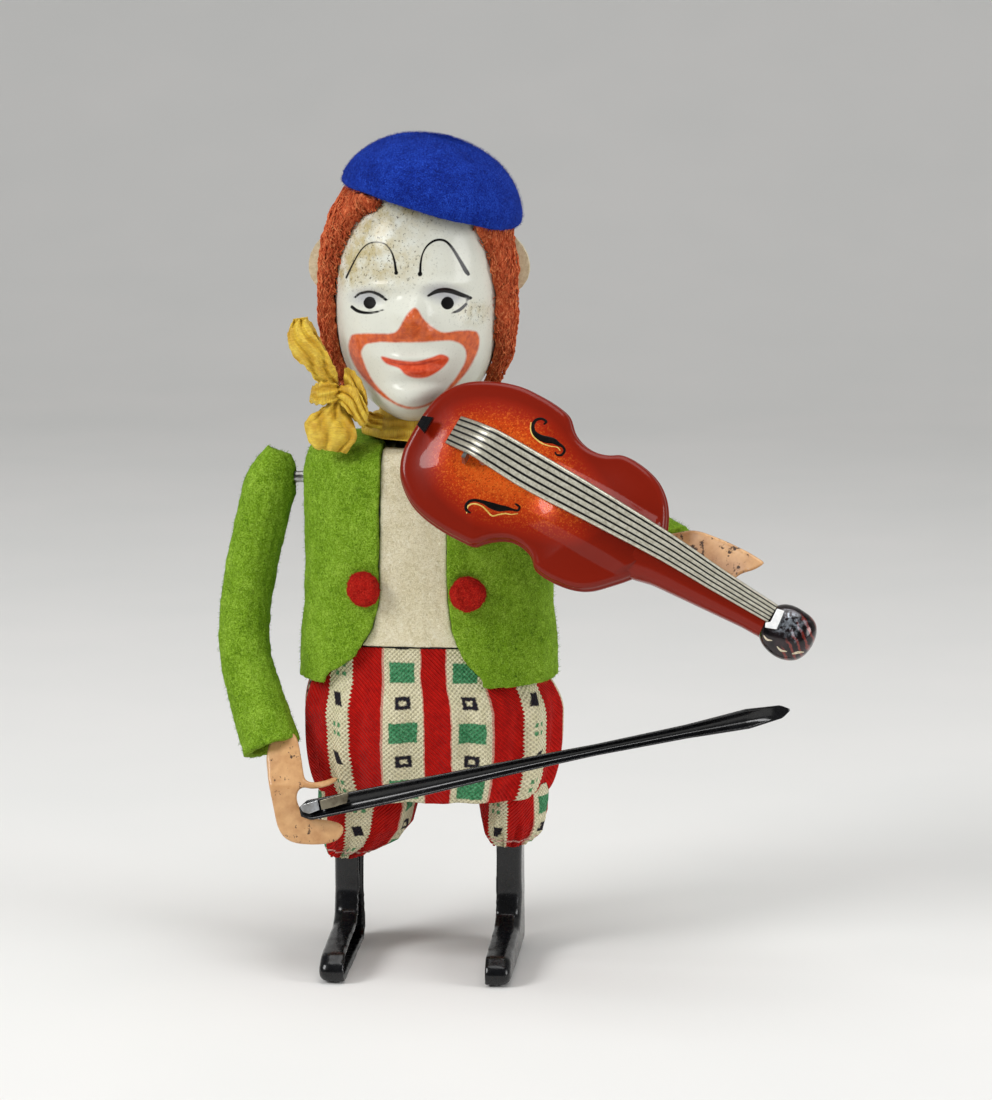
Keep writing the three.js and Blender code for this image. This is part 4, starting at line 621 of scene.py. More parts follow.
def strip_look():
    """Cream print on tin with five black lines along it, with painted shade darkening its tail end."""
    look = Look("string_print", coat_weight=0.4, coat_roughness=0.2, roughness=0.35)
    lane, wear = look.read("lane"), look.noise(look.place(), 0.5, 5, 0.7)
    cream = look.ramp(wear, 0.3, "a9a48f", 0.6, "d8d5c4")
    # Painted shade: the cream darkens towards the folded tail end of the strip
    cream = look.mix(look.read("tail") * 0.65, cream, "5f584b")
    wave = look.math("FRACT", lane * STRING_LINES + 0.5)
    line = look.inside(abs(wave - 0.5) - 0.17, 0.08) * (abs(lane) < 0.9)
    return look.made(
        base_color=look.mix(line, cream, "0c0c0c"), metallic=(abs(lane) > 0.94) * 0.5 + 0.4,
        normal=look.bump(wear, 0.01),
    )


def hair_look():
    look = Look("hair_wool", roughness=0.9, sheen_weight=0.2, sheen_roughness=0.5,
                sheen_tint="d98050", specular_ior_level=0.2)
    tangle = look.noise(look.place((1, 1, 0.5)), 0.5, 5, 0.65, 1.5)
    shade = look.ramp(tangle, 0.33, "8d2c16", 0.5, "c95c34", 0.66, "ec9562")
    return look.made(base_color=shade, normal=look.bump(tangle, 0.15))


def ribbon_look():
    """Crinkled ribbon, with painted shade in the low parts of its crinkles: places along and across it
    are kept on the mesh, in millimetres.
    """
    look = Look("gold_ribbon", roughness=0.45, sheen_weight=0.3, sheen_roughness=0.4,
                sheen_tint="ffe58a")
    lane = look.read("lane")
    spot = look.node("CombineXYZ", {0: look.read("run"), 1: lane, 2: 0.0})
    crepe = look.noise(look.vector("MULTIPLY", spot, (5.5, 0.9, 1)), 1.0, 3, 0.6, 0.8)
    shade = look.ramp(look.noise(look.place(), 2.2, 3), 0.35, "cf9f18", 0.65, "efcf45")
    # Painted shade: where the crinkles are low, the ribbon is painted darker
    shade = look.mix(look.ramp(crepe, 0.35, 0.5, 0.6, 0.0), shade, "b28418")
    threads = look.sine(lane, 60.0)
    return look.made(
        base_color=shade, normal=look.bump(threads, 0.015, 0.6, look.bump(crepe, 0.16))
    )


# Print on the cotton: repeat of the stripes round the cloth and of the figures down it
STRIPE_WIDE, STRIPE_RED, STRIPE_NARROW = 5.4, 4.5, 3.9
STRIPE_SECOND = STRIPE_WIDE + STRIPE_RED
STRIPE_REPEAT = STRIPE_SECOND + STRIPE_NARROW + STRIPE_RED
STRIPE_START, PRINT_START, PRINT_REPEAT = 1.7, 1.3, 8.1
WEAVE = 9.6


def cotton_look():
    """Striped cotton: places round and down the cloth are kept on the mesh, in millimetres."""
    look = Look("striped_cotton", roughness=0.85, sheen_weight=0.03, sheen_roughness=0.5,
                specular_ior_level=0.1)
    around, down, weft = look.read("around"), look.read("down"), look.read("weft")
    place = look.place()

    # Stripes: a plain wide one and a saw-toothed narrow one, on red
    wobble = (look.noise(place, 1.6, 2) - 0.5) * 0.35
    repeat = (around + wobble - STRIPE_START) % STRIPE_REPEAT
    wide = (repeat > 0.0) * (repeat < STRIPE_WIDE)
    saw = repeat + look.math("PINGPONG", down, 0.28) * 1.1 - 0.15
    narrow = (saw > STRIPE_SECOND) * (saw < STRIPE_SECOND + STRIPE_NARROW)
    pale = look.math("MAXIMUM", wide, narrow)
    red = look.ramp(look.noise(place, 1.2), 0.3, "ad0a08", 0.7, "cf170e")
    shade = look.mix(pale, red, look.ramp(look.noise(place, 0.9), 0.3, "d9d2ab", 0.7, "f3ecca"))
    rim = look.math("MINIMUM", abs(repeat), abs(repeat - STRIPE_WIDE))
    shade = look.mix(look.inside(rim - 0.16, 0.12), shade, "dfa590")

    # Figures: a green block over a hollow square, and four leaves over a diamond
    ragged = (look.noise(place, 0.35, 3) - 0.5) * 0.5
    level = (down - PRINT_START) % PRINT_REPEAT - PRINT_REPEAT / 2
    upper, lower = level + PRINT_REPEAT / 4, level - PRINT_REPEAT / 4
    middle = repeat - STRIPE_WIDE / 2
    lane = repeat - (STRIPE_SECOND + STRIPE_NARROW / 2)

    def block(x, y, half_x, half_y):
        reach = look.math("MAXIMUM", abs(x) - half_x, abs(y) - half_y)
        return look.inside(reach + ragged, 0.18)

    green = look.ramp(look.noise(place, 0.4, 3), 0.35, "2f7a4d", 0.65, "5fa878")
    hollow = 1.0 - block(middle, lower, 0.38, 0.3)
    for figure, tone in (
        (block(middle, upper, 1.75, 1.4) * wide, green),
        (block(middle, lower, 0.95, 0.85) * hollow * wide, "23242e"),
        (block(lane + lower * 0.45, lower, 0.75, 0.85) * narrow, "1d1e27"),
        (block(abs(lane) - 0.55, abs(upper) - 0.6, 0.28, 0.3) * narrow, "5a9a6a"),
        (look.inside(look.read("hem"), 0.15), "e8b9ac"),
    ):
        shade = look.mix(figure, shade, tone)

    # Weave: twill where it is red, and plain where it is cream, with painted shade darkening the cloth
    # between the threads
    threads = look.sine(weft, WEAVE) * look.sine(down, WEAVE)
    woven = look.mix(pale, look.sine(weft + down, WEAVE), threads)
    weave_shade = look.ramp(woven * 0.5 + 0.5, 0.1, 0.8, 0.6, 0.0) * (pale * 0.45 + 0.45)
    shade = look.mix(weave_shade, shade, look.mix(0.55, shade, "3a1d10"))
    return look.made(base_color=shade, normal=look.bump(woven, 0.1))


LOOKS = {
    "green": felt_look("green_felt", "3a5c06", "72991a", "a2c648"),
    "cream": felt_look("cream_felt", "c3b78e", "e6dcba", "f6f0d8", 0.5),
    "red": felt_look("red_felt", "6d0806", "b3150e", "d23a28", 0.4),
    "blue": felt_look("blue_felt", "071453", "0a278a", "2850c4", 0.3, 0.25, 0.1),
    "hair": hair_look(),
    "ribbon": ribbon_look(),
    "cotton": cotton_look(),
    "face": face_look(),
    "flesh": flesh_look("flesh_lacquer", 0.62),
    "worn_flesh": flesh_look("worn_flesh_lacquer", 0.565),
    "black": black_look(),
    "violin": violin_look(),
    "scroll": scroll_look(),
    "strip": strip_look(),
    "ivory": plain_look("aged_enamel", "c4b48c", "e0d6b6", 0.35),
    "ink": plain_look("black_print", "060506", "12100f", shine=0.12),
    "pale": plain_look("cream_print", "b9a98a", "e6dcc2"),
    "gold": plain_look("gold_print", "c79a36", "f2d573"),
    # The nut is painted near white: a painted reflection of its bright tin
    "nut": plain_look("tin_with_painted_reflection", "e2e3e4", "fafaf8", 0.3),
    "tarnish": metal_look("tarnished_tin", "8d8674", "4e4538", 0.4),
    "steel": metal_look("steel", "b9bcbf", "8b8882"),
    "brass": metal_look("brass", "c9a04a", "93702c", 0.28),
    "tin": metal_look("tinplate", "a9abad", "7c7b78", 0.4),
    "blued": metal_look("blued_steel", "3a4352", "2a2c33", 0.3),
}


# Face: a fine pressed half head, painted from distances measured in the photograph's pixels

HEAD_X, HEAD_BOTTOM, HEAD_HEIGHT = -1.4, 76.0, 32.0
HEAD_WIDE, HEAD_DEEP = 11.4, 11.2
HEAD_MIDDLE, HEAD_SQUARE = HEAD_BOTTOM + HEAD_HEIGHT / 2, 2.5
# Pressing, in shares of the head: across, up, spread across, spread up and height
FACE_RELIEF = [
    (0, 0.445, 0.14, 0.045, 0.2), (0, 0.26, 0.3, 0.035, 0.07), (0, 0.12, 0.26, 0.05, 0.1),
    (-0.52, 0.34, 0.22, 0.07, 0.05), (0.52, 0.34, 0.22, 0.07, 0.05),
    (-0.42, 0.51, 0.2, 0.04, -0.06), (0.42, 0.51, 0.2, 0.04, -0.06),
]

# Finer pressing: pixel across, pixel down, spread across, spread down, height in millimetres
FINE_RELIEF = [
    (370, 303, 13, 8, 0.3), (447.5, 303, 13, 8, 0.3), (413, 318, 6, 14, 0.8),
    (399, 333, 5, 5, 0.6), (428, 333, 5, 5, 0.6), (416, 358, 18, 3, 0.4),
    (417, 371, 14, 4, 0.8), (415, 383, 16, 3, -0.4), (414, 398, 22, 9, 0.5),
    (372, 287, 22, 4, 0.5), (446, 284, 22, 4, 0.5), (409, 292, 5, 12, -0.25),
    (366, 345, 9, 12, 0.2), (466, 345, 9, 12, 0.2),
]

BROWS = [
    [(346.3, 277.5, 1.1), (352.6, 264.5, 0.8), (359.8, 251.8, 0.7), (367, 244.6, 0.7),
     (375, 242.2, 0.7), (384.5, 243.8, 0.7), (391, 251, 0.8), (394.2, 260, 1.1), (396, 271, 1.4)],
    [(420.2, 273, 1.4), (420.7, 263, 1.1), (422.8, 253.4, 0.8), (427.6, 245.4, 1.0),
     (435.6, 240.3, 1.2), (444.3, 240.6, 1.2), (451.5, 247, 1.4), (459.5, 259.7, 1.7),
     (465.9, 270.9, 2.2), (468.3, 274.1, 1.7)],
]
LIDS = [
    [(355, 297.4, 1.0), (359, 294, 1.3), (365.4, 292.2, 1.4), (371.8, 292, 1.4),
     (379.7, 295, 1.6), (387, 300.6, 1.3)],
    [(351.8, 306.8, 1.6), (357.4, 310.8, 1.7), (365.4, 312.7, 1.4), (375, 312.2, 1.1),
     (384.5, 309.4, 0.6)],
    [(427.6, 296.2, 1.1), (435.6, 291.8, 2.1), (443.5, 290.2, 2.5), (451.5, 291.2, 2.5),
     (461, 294.6, 2.2), (470.7, 298, 1.7)],
    [(451.5, 313.2, 0.7), (459.5, 310, 1.6), (466.7, 303.6, 1.4)],
]
PUPILS = [(369.7, 302.8, 6.2), (447.5, 303.1, 6.4), (396.2, 272.8, 2.1), (420, 274, 2.4)]
BAND_OUTSIDE = [
    (355, 334), (349.6, 339.5), (348.6, 349), (352.6, 361.8), (360.6, 374.6), (371.8, 387.3),
    (389.3, 401.2), (402, 407), (411.6, 409), (421.2, 407.6), (435.6, 402), (451.5, 388.9),
    (465.9, 373), (475.4, 357), (479.4, 344.3), (478.4, 335), (473.8, 330.9), (459.5, 330.7),
    (443.5, 332.3), (434, 328), (423.5, 318.7), (418.5, 310.5), (414.5, 307.6), (410, 311),
    (403.7, 320.3), (397, 330.5), (389.3, 333.9), (379.7, 333.4),
]
BAND_INSIDE = [
    (361.4, 353.8), (362.2, 349), (367, 344.3), (379.7, 342.2), (398.9, 342.6), (418, 342.4),
    (435.6, 341.3), (451.5, 341.1), (461.1, 344.3), (465.9, 352.2), (464.3, 363.4),
    (457.9, 374.6), (448.3, 387), (437.2, 398), (424.4, 405), (411.6, 407), (398.9, 404),
    (386.1, 395.3), (376.6, 385.7), (368.6, 373), (363.8, 361.8),
]
LIPS = [
    (381.3, 356.4), (395.7, 359.6), (414.8, 361.4), (430.8, 357.6), (440.4, 354.4),
    (447.6, 356.6), (448.4, 361), (440.4, 369.8), (427.6, 377), (414.8, 378), (405.3, 374.6),
    (398.9, 368.2), (386.1, 363.5),
]
LIP_SEAM = [
    (389, 361.5, 0.3), (403, 364.4, 0.8), (418, 364.6, 1.0), (431, 361.6, 0.9), (440, 359.4, 0.3),
]
# Yellowed and specked places: pixel across, pixel down, spread across, spread down and weight
AGED = [
    (349, 232, 26, 20, 1), (383, 262, 26, 17, 1), (347, 272, 12, 9, 1), (400, 205, 40, 14, 1),
    (476, 314, 12, 7, 1),
]
EYE_SHADOWS = [(367, 297), (440, 292), (449, 296)]
FAR_OUTSIDE = 50


def paint_face(obj):
    """Keeps how far each point lies outside each painted shape, on the side that shows."""
    spot = seen(points_of(obj.data))
    front = normals_of(obj.data) @ BACK > 0

    def painted(distance):
        return np.where(front, distance, FAR_OUTSIDE)

    black = [line_distance(spot, curve(line, 6)) for line in BROWS + LIDS]
    black += [np.hypot(*(spot - (x, y)).T) - r for x, y, r in PUPILS]
    band, inside, lips = (
        area_distance(spot, curve(outline, 5, True))
        for outline in (BAND_OUTSIDE, BAND_INSIDE, LIPS)
    )
    shade = [np.hypot((spot[:, 0] - x) / 1.9, spot[:, 1] - y) - 7.5 for x, y in EYE_SHADOWS]
    mark(
        obj, black=painted(np.min(black, axis=0)), red=painted(np.maximum(band, -inside)),
        lips=painted(lips), seam=painted(line_distance(spot, curve(LIP_SEAM, 6))),
        shade=painted(np.min(shade, axis=0)),
        aged=np.clip(swellings(*spot.T, AGED), 0, 1),
    )


def make_face():
    rows, columns = 260, 330
    angles = np.linspace(-0.42 * math.pi, 0.49 * math.pi, rows)
    turns = np.linspace(math.pi, 2 * math.pi, columns)
    depth = np.abs(np.sin(turns))
    up = HEAD_MIDDLE + HEAD_HEIGHT / 2 * power(np.sin(angles), 2 / HEAD_SQUARE)
    share = np.cos(angles)[:, None] ** (2 / HEAD_SQUARE)
    across = share * HEAD_WIDE * np.cos(turns)
    deep = share * HEAD_DEEP * np.sin(turns)
    rise = np.repeat(up[:, None], columns, axis=1)
    relief = HEAD_DEEP * share * depth * swellings(
        across / HEAD_WIDE, (rise - HEAD_BOTTOM) / HEAD_HEIGHT, FACE_RELIEF
    )
    jut = 1.9 * smooth_step((86 - rise) / 9.5) * depth ** 1.5
    points = np.stack([HEAD_X + across, deep - relief - jut, rise - 0.8 * jut], axis=-1)
    points = points.reshape(-1, 3)
    points[:, 1] -= swellings(*seen(points).T, FINE_RELIEF) * np.tile(depth, rows)
    obj = piece("face", points, grid_faces(rows, columns), "face")
    flipped(obj)
    shelled(obj, 0.5)
    roughened(obj, [(4.0, 0.03, 3), (1.5, 0.015, 4)])
    paint_face(obj)
    stands(obj, "face_lacquer", "head_front")


# Felt pieces

CHANCE = np.random.default_rng(7)
FELT_LAYERS = [(0.55, 0.09, 11), (1.3, 0.07, 12), (4.5, 0.12, 13)]
SLEEVE_DOME = 4.5


def fibres(name, obj, look, count, length, radius=0.022, body="figure"):
    """Short tapered hairs that stand out of a piece's outer side."""
    points, normals = points_of(obj.data), normals_of(obj.data)
    chosen = CHANCE.choice(len(points), count, replace=count > len(points))
    verts, faces = [], []
    lean = CHANCE.normal(0, 0.8, (count, 3))
    for k, index in enumerate(chosen):
        way = Vector(normals[index] + lean[k]).normalized()
        side = way.orthogonal().normalized()
        other = way.cross(side)
        start = Vector(points[index]) - 0.05 * way
        bend = Vector(lean[k][::-1]) * length * 0.25
        first = len(verts)
        for at, wide in ((0, 1), (0.6, 0.7)):
            middle = start + way * length * at + bend * at * at
            for angle in (0, 2 * math.pi / 3, 4 * math.pi / 3):
                out = side * math.cos(angle) + other * math.sin(angle)
                verts.append(middle + out * radius * wide)
        verts.append(start + way * length + bend)
        for a, b in ((0, 1), (1, 2), (2, 0)):
            faces.append((first + a, first + b, first + 3 + b, first + 3 + a))
            faces.append((first + 3 + a, first + 3 + b, first + 6))
        faces.append((first + 2, first + 1, first))
    return piece(name, verts, faces, look, body)


def rounded_end(obj):
    """Draws a sleeve's upper end together into a dome."""
    points = points_of(obj.data)
    top = points[:, 2].max()
    high = points[:, 2] > top - SLEEVE_DOME
    centre = points[points[:, 2] > top - 2, :2].mean(axis=0)
    part = (points[high, 2] - top + SLEEVE_DOME) / SLEEVE_DOME
    points[high, :2] = centre + (points[high, :2] - centre) * np.sqrt(1 - 0.82 * part ** 2)[:, None]
    put_points(obj.data, points)


def make_felts():
    jacket = refined("jacket", "green", "green_felt", 0.32, 6, FELT_LAYERS)
    fibres("jacket_nap", jacket, "green", 9000, 0.5)
    layers = [(0.6, 0.05, 21), (3.0, 0.05, 22)]
    shirt = refined("shirt_front", "cream", "cream_felt", 0.2, 4, layers)
    places = points_of(shirt.data)
    places[:, 0] += (places[:, 0] - places[:, 0].mean()) * 0.05
    put_points(shirt.data, places)
    for side, body in (("right", "bow_arm"), ("left", "figure")):
        sleeve = refined(side + "_sleeve", "green", "green_felt", 0.3, 6, FELT_LAYERS)
        if side == "right":
            rounded_end(sleeve)
        fibres(side + "_sleeve_nap", sleeve, "green", 4000, 0.45, body=body)
        layers = [(0.5, 0.12, 31), (1.4, 0.15, 32)]
        button = refined(side + "_button", "red", "red_felt", 0.2, 8, layers)
        fibres(side + "_button_nap", button, "red", 700, 0.35)


BERET_PLACE, BERET_TILT = np.array([0.5, 0, 105.1]), math.radians(13.8)
BERET_WIDE, BERET_HIGH, FELT = 12.3, 8.35, 1.3
# Its rim, rolled in under it: height and inset
BERET_UNDER = [(-0.25, 0.02), (-0.55, 0.14), (-0.8, 0.42), (-0.86, 0.8), (-0.7, 1.15), (-0.3, FELT)]


def make_beret():
    """A low felt dome, rolled in at its rim, with a hollow for the head."""
    def dome(wide, high, angles):
        return [(wide * math.cos(a), high * math.sin(a)) for a in angles]

    profile = dome(BERET_WIDE, BERET_HIGH, np.linspace(math.pi / 2, 0, 60))
    profile += [(BERET_WIDE - inset, z) for z, inset in BERET_UNDER]
    profile += dome(BERET_WIDE - FELT, BERET_HIGH - FELT, np.linspace(0, math.pi / 2, 30))
    wide, high = np.array(profile).T[..., None]
    turns = circle(220)
    uneven = 1 + 0.012 * np.sin(2 * turns + 1) + 0.01 * np.sin(3 * turns)
    radius = np.maximum(wide, 0.05) * uneven
    x, y = radius * np.cos(turns), radius * np.sin(turns)
    z = high + 0.35 * np.sin(turns + 2.2) * (radius / BERET_WIDE) ** 2
    z = z - 1.1 * np.clip(np.cos(turns + 0.75), 0, 1) ** 2 * (radius / BERET_WIDE) ** 3
    c, s = math.cos(BERET_TILT), math.sin(BERET_TILT)
    points = np.stack([x * c + z * s, y, z * c - x * s], axis=-1).reshape(-1, 3) + BERET_PLACE
    faces = grid_faces(len(profile), len(turns), around=True, capped=True)
    obj = piece("beret_look", points, faces, "blue")
    flipped(obj)
    roughened(obj, [(0.4, 0.05, 41), (1.5, 0.05, 42), (5, 0.2, 43)])
    stands(obj, "blue_felt", "beret")
    fibres("beret_nap", obj, "blue", 16000, 0.42, 0.02)


# Hair: wool with short waved strands laid down over it

STRAND_COUNT, STRAND_STEPS, STRAND_SIDES = 2300, 9, 4


def make_hair():
    base = refined("hair", "hair", "hair_wool", 0.32, 8, [(0.7, 0.22, 51), (1.8, 0.2, 52)])
    points = points_of(base.data)
    up = np.array([math.sin(BERET_TILT), 0, math.cos(BERET_TILT)])
    under = np.clip(((points - BERET_PLACE) @ up + 2.5) / 1.5, 0, 1)
    put_points(base.data, points + 0.8 * under[:, None] * up)
    points, normals = points_of(base.data), normals_of(base.data)
    middle = np.array([HEAD_X, 0, HEAD_MIDDLE])
    out = np.einsum("ij,ij->i", points - middle, normals)
    chosen = CHANCE.choice(np.flatnonzero(out > 2), STRAND_COUNT)
    tree = tree_of(base)
    verts, faces = [], []
    for index in chosen:
        place, normal = Vector(points[index]), Vector(normals[index])
        sweep = CHANCE.normal(0, 0.35, 3)
        way = Vector((sweep[0], sweep[1], -1 + 0.3 * sweep[2]))
        phase, swing = CHANCE.uniform(0, 6.28), CHANCE.uniform(0.15, 0.4)
        step, radius = CHANCE.uniform(0.28, 0.42), CHANCE.uniform(0.07, 0.12)
        first = len(verts)
        for s in range(STRAND_STEPS + 1):
            flow = (way - normal * way.dot(normal)).normalized()
            side = normal.cross(flow).normalized()
            lift = 0.12 + 0.3 * math.sin(math.pi * s / STRAND_STEPS)
            centre = place + normal * lift + side * swing * math.sin(phase + s * 1.25)
            thin = radius * (1 - 0.6 * abs(2 * s / STRAND_STEPS - 1) ** 3)
            for angle in circle(STRAND_SIDES):
                verts.append(centre + (side * math.cos(angle) + normal * math.sin(angle)) * thin)
            place, normal, _, _ = tree.find_nearest(place + flow * step)
        faces += grid_faces(STRAND_STEPS + 1, STRAND_SIDES, around=True, capped=True, first=first)
    strands = piece("hair_strands", verts, faces, "hair")


# Trousers: a seat gathered under the jacket and two legs gathered at their hems

SEAT_TOP, SWELL_TOP, REST_BOTTOM, SEAT_BOTTOM = 44.5, 39.7, 34.2, 22.8
WAIST_WIDE, WAIST_DEEP = 16.1, 10.7
SEAT_WIDE, SEAT_DEEP, SEAT_SHIFT = 18.0, 12.6, 0.504
COTTON = 0.35
PRINT_MIDDLE, PRINT_WIDE, PRINT_DEEP = 1.7, 16.5, 11.5
CLOTH_TURNS = (math.pi / 2, -1.5 * math.pi)


def ring_at(ring, wide, deep, shift, move, height):
    """An oval of the cloth, moved outwards by so much at each of its points."""
    x, y = ring
    out = np.stack([x / wide ** 2, y / deep ** 2], axis=1)
    out /= np.linalg.norm(out, axis=1)[:, None]
    height = np.broadcast_to(height, x.shape)
    return np.stack([shift + x + out[:, 0] * move, y + out[:, 1] * move, height], axis=1)


def drawn_in(points, count, reach, rise):
    """Adds rings that draw the last one in towards its middle, and gives their shares."""
    last = points[-1]
    centre = last.mean(axis=0)
    shares = np.arange(1, count + 1) / count
    for share in shares:
        ring = centre + (last - centre) * (1 - share * reach)
        ring[:, 2] = last[:, 2] + rise(share)
        points.append(ring)
    return shares


def make_cotton(name, node, points, down, around, hem):
    """A cloth made of rings, with the places of its print."""
    total, columns = len(points), len(around)
    obj = piece(name, np.vstack(points), grid_faces(total, columns, around=True), "cotton")
    mark(obj, around=np.tile(np.abs(around), total), weft=np.tile(around, total),
         down=np.repeat(down, columns), hem=hem)
    flipped(obj)
    shelled(obj, COTTON)
    stands(obj, "striped_cotton", node)


def make_seat():
    rows, columns = 110, 320
    turns = np.linspace(*CLOTH_TURNS, columns, endpoint=False)
    across, deep = oval(PRINT_WIDE, PRINT_DEEP, turns)
    lengths = arc_lengths(np.stack([across, deep], axis=1))
    front = np.argmin(np.hypot(across - PRINT_MIDDLE, deep + PRINT_DEEP))
    around = lengths[:-1] - lengths[front]
    points, down = [], []
    for k, height in enumerate(np.linspace(SEAT_TOP, SEAT_BOTTOM + 0.15, rows)):
        part = k / (rows - 1)
        swell = math.sin(np.clip((SWELL_TOP - height) / 5.5, 0, 1) * math.pi / 2)
        low = np.clip((height - SEAT_BOTTOM) / 9, 0, 1)
        inward = 0.86 + 0.14 * math.sqrt(1 - (1 - low) ** 2) if height < REST_BOTTOM else 1
        wide = (WAIST_WIDE + (SEAT_WIDE - WAIST_WIDE) * swell) * inward
        thick = (WAIST_DEEP + (SEAT_DEEP - WAIST_DEEP) * swell) * inward
        folds = (
            0.4 * np.sin(around * 0.95 + 0.9 * math.sin(part * 3) + 1.3)
            + 0.26 * np.sin(around * 1.73 - part * 2.2)
            + 0.2 * np.sin(around * 0.43 + 4)
            + 0.5 * (1 - 2 * np.abs(np.sin(around * 0.31 + 0.5 * part + 0.6)) ** 0.6) * part
        )
        calm = 0.1 + 0.9 * math.sin(min(part * 1.35, 1) * math.pi / 2)
        move = np.maximum((folds - 0.35) * calm, 0.1 - 1.2 * swell)
        sag = 0.12 * np.sin(around * 0.6 + part * 4) * part
        ring = oval(wide, thick, turns)
        points.append(ring_at(ring, wide, thick, SEAT_SHIFT * swell, move, height + sag))
        down.append(SEAT_TOP - height)
    closing = drawn_in(points, 22, 0.985, lambda s: 0.9 * (1 - (1 - s) ** 2) * (1 - s))
    down.extend(SEAT_TOP - SEAT_BOTTOM + closing * 9)
    no_hem = np.full(len(points) * columns, 5.0)
    make_cotton("seat_cloth", "trousers_seat", points, down, around, no_hem)


# How full a leg is, by the share of the way down it
LEG_WIDTHS = [(0, 1.0), (0.3, 1.03), (0.6, 0.9), (0.8, 0.62), (0.9, 0.3), (0.955, 0.06), (1, 0.0)]
HEM_WIDE, HEM_DEEP, LEG_SQUARE = 2.95, 5.1, 2.2
# Middle, half width and half depth at the top; middle and height of the hem; shift of the print
LEG_SHAPES = {
    "right": (-8.6, 6.9, 8.2, -11.35, 13.5, -2.5),
    "left": (11.9, 4.9, 7.6, 11.35, 15.6, 5.0),
}


def make_trouser_leg(side):
    top_x, top_wide, top_deep, hem_x, hem_z, print_shift = LEG_SHAPES[side]
    rows, columns = 130, 200
    top_z = SEAT_BOTTOM + 1.6
    turns = np.linspace(*CLOTH_TURNS, columns, endpoint=False)
    shares, widths = np.array(LEG_WIDTHS).T
    x0, y0 = oval(top_wide, top_deep, turns, LEG_SQUARE)
    lengths = arc_lengths(np.stack([x0, y0], axis=1))
    front = np.argmin(np.hypot(x0 - (PRINT_MIDDLE - top_x) * 0.5, y0 + top_deep * 0.9))
    around = lengths[front] - lengths[:-1] + (top_x + x0[front] - PRINT_MIDDLE) + print_shift
    points, down = [], []
    for k in range(rows):
        part = k / (rows - 1)
        share = np.interp(part, shares, widths)
        height = top_z + (hem_z - top_z) * part
        wide = HEM_WIDE + (top_wide - HEM_WIDE) * share
        deep = HEM_DEEP + (top_deep - HEM_DEEP) * share
        shift = top_x + (hem_x - top_x) * (1 - share)
        gather = np.clip((part - 0.35) / 0.5, 0, 1) ** 1.6
        release = 1 - np.clip((part - 0.965) / 0.035, 0, 1) * 0.3
        pleats = 0.55 * np.sin(turns * 15 + 0.7 * np.sin(turns * 3)) + 0.3 * np.sin(turns * 26 + 2)
        loose = 0.3 * np.sin(around * 0.8 + part * 3 + (side == "left")) * (1 - gather)
        move = pleats * gather * release * 0.75 + loose - 0.25
        ruffled = height + 0.12 * np.sin(turns * 15) * gather
        ring = oval(wide, deep, turns, LEG_SQUARE)
        points.append(ring_at(ring, wide, deep, shift, move, ruffled))
        down.append(SEAT_TOP - top_z + (top_z - height) * 1.15 + 4.3)
    closing = drawn_in(points, 8, 0.52, lambda s: 0.25 * s)
    down.extend(np.full(len(closing), down[-1]))
    hem = np.abs(np.vstack(points)[:, 2] - (hem_z + 1.0)) - 0.12
    make_cotton(side + "_leg_cloth", side + "_trouser_leg", points, down, around, hem)


# Ribbon round the neck: crinkled strips with a knot, placed by the photograph's pixels

RIBBON_STRIPS = {
    # rows: pixel across and down on one edge, the same on the other edge, depth y in millimetres
    "upper_loop_front": [
        (330, 392, 338, 381, -9.6), (316, 380, 337, 372, -10.2), (306, 368, 332, 362, -10.6),
        (294, 357, 325, 350, -10.6), (288, 343, 316, 337, -10.2), (289, 330, 310, 325, -9.4),
        (293, 320, 307, 318, -8.6),
    ],
    "upper_loop_back": [
        (293, 319, 307, 317, -8.6), (291, 330, 313, 326, -7.6), (298, 346, 322, 344, -7.0),
        (309, 362, 329, 357, -7.2), (320, 378, 336, 372, -7.8), (332, 391, 338, 385, -8.4),
    ],
    "right_leaf_front": [
        (333, 399, 338, 388, -9.8), (343, 406, 345, 386, -10.8), (352, 416, 357, 389, -11.3),
        (362, 426, 367, 409, -11.2), (364, 427, 368, 421, -10.6),
    ],
    "right_leaf_back": [
        (345, 398, 344, 368, -9.2), (351, 411, 353, 370, -9.4), (359, 422, 362, 384, -9.8),
        (364, 427, 368, 402, -10.2),
    ],
    "tail": [
        (330, 401, 341, 399, -9.6), (322, 408, 345, 411, -10.4), (311, 416, 352, 421, -11.0),
        (305, 424, 356, 430, -11.4), (307, 436, 357, 438, -11.5), (313, 446, 351, 447, -11.3),
        (321, 449, 346, 453, -11.0),
    ],
    "knot": [
        (312, 386, 309, 402, -9.0), (320, 382, 318, 405, -10.6), (328, 382, 328, 404, -11.2),
        (336, 384, 338, 402, -10.6), (341, 388, 342, 399, -9.4),
    ],
    "tie": [
        (326, 388, 325, 399, -9.8), (340, 396, 338, 408, -9.4), (354, 405, 351, 418, -8.7),
        (368, 412, 365, 426, -7.8), (384, 415, 382, 430, -6.7),
    ],
}
RIBBON_LANES = 26
BAND_TOP, BAND_INSIDE_RADIUS, BAND_SLOPE = 76.0, 5.4, 3.2


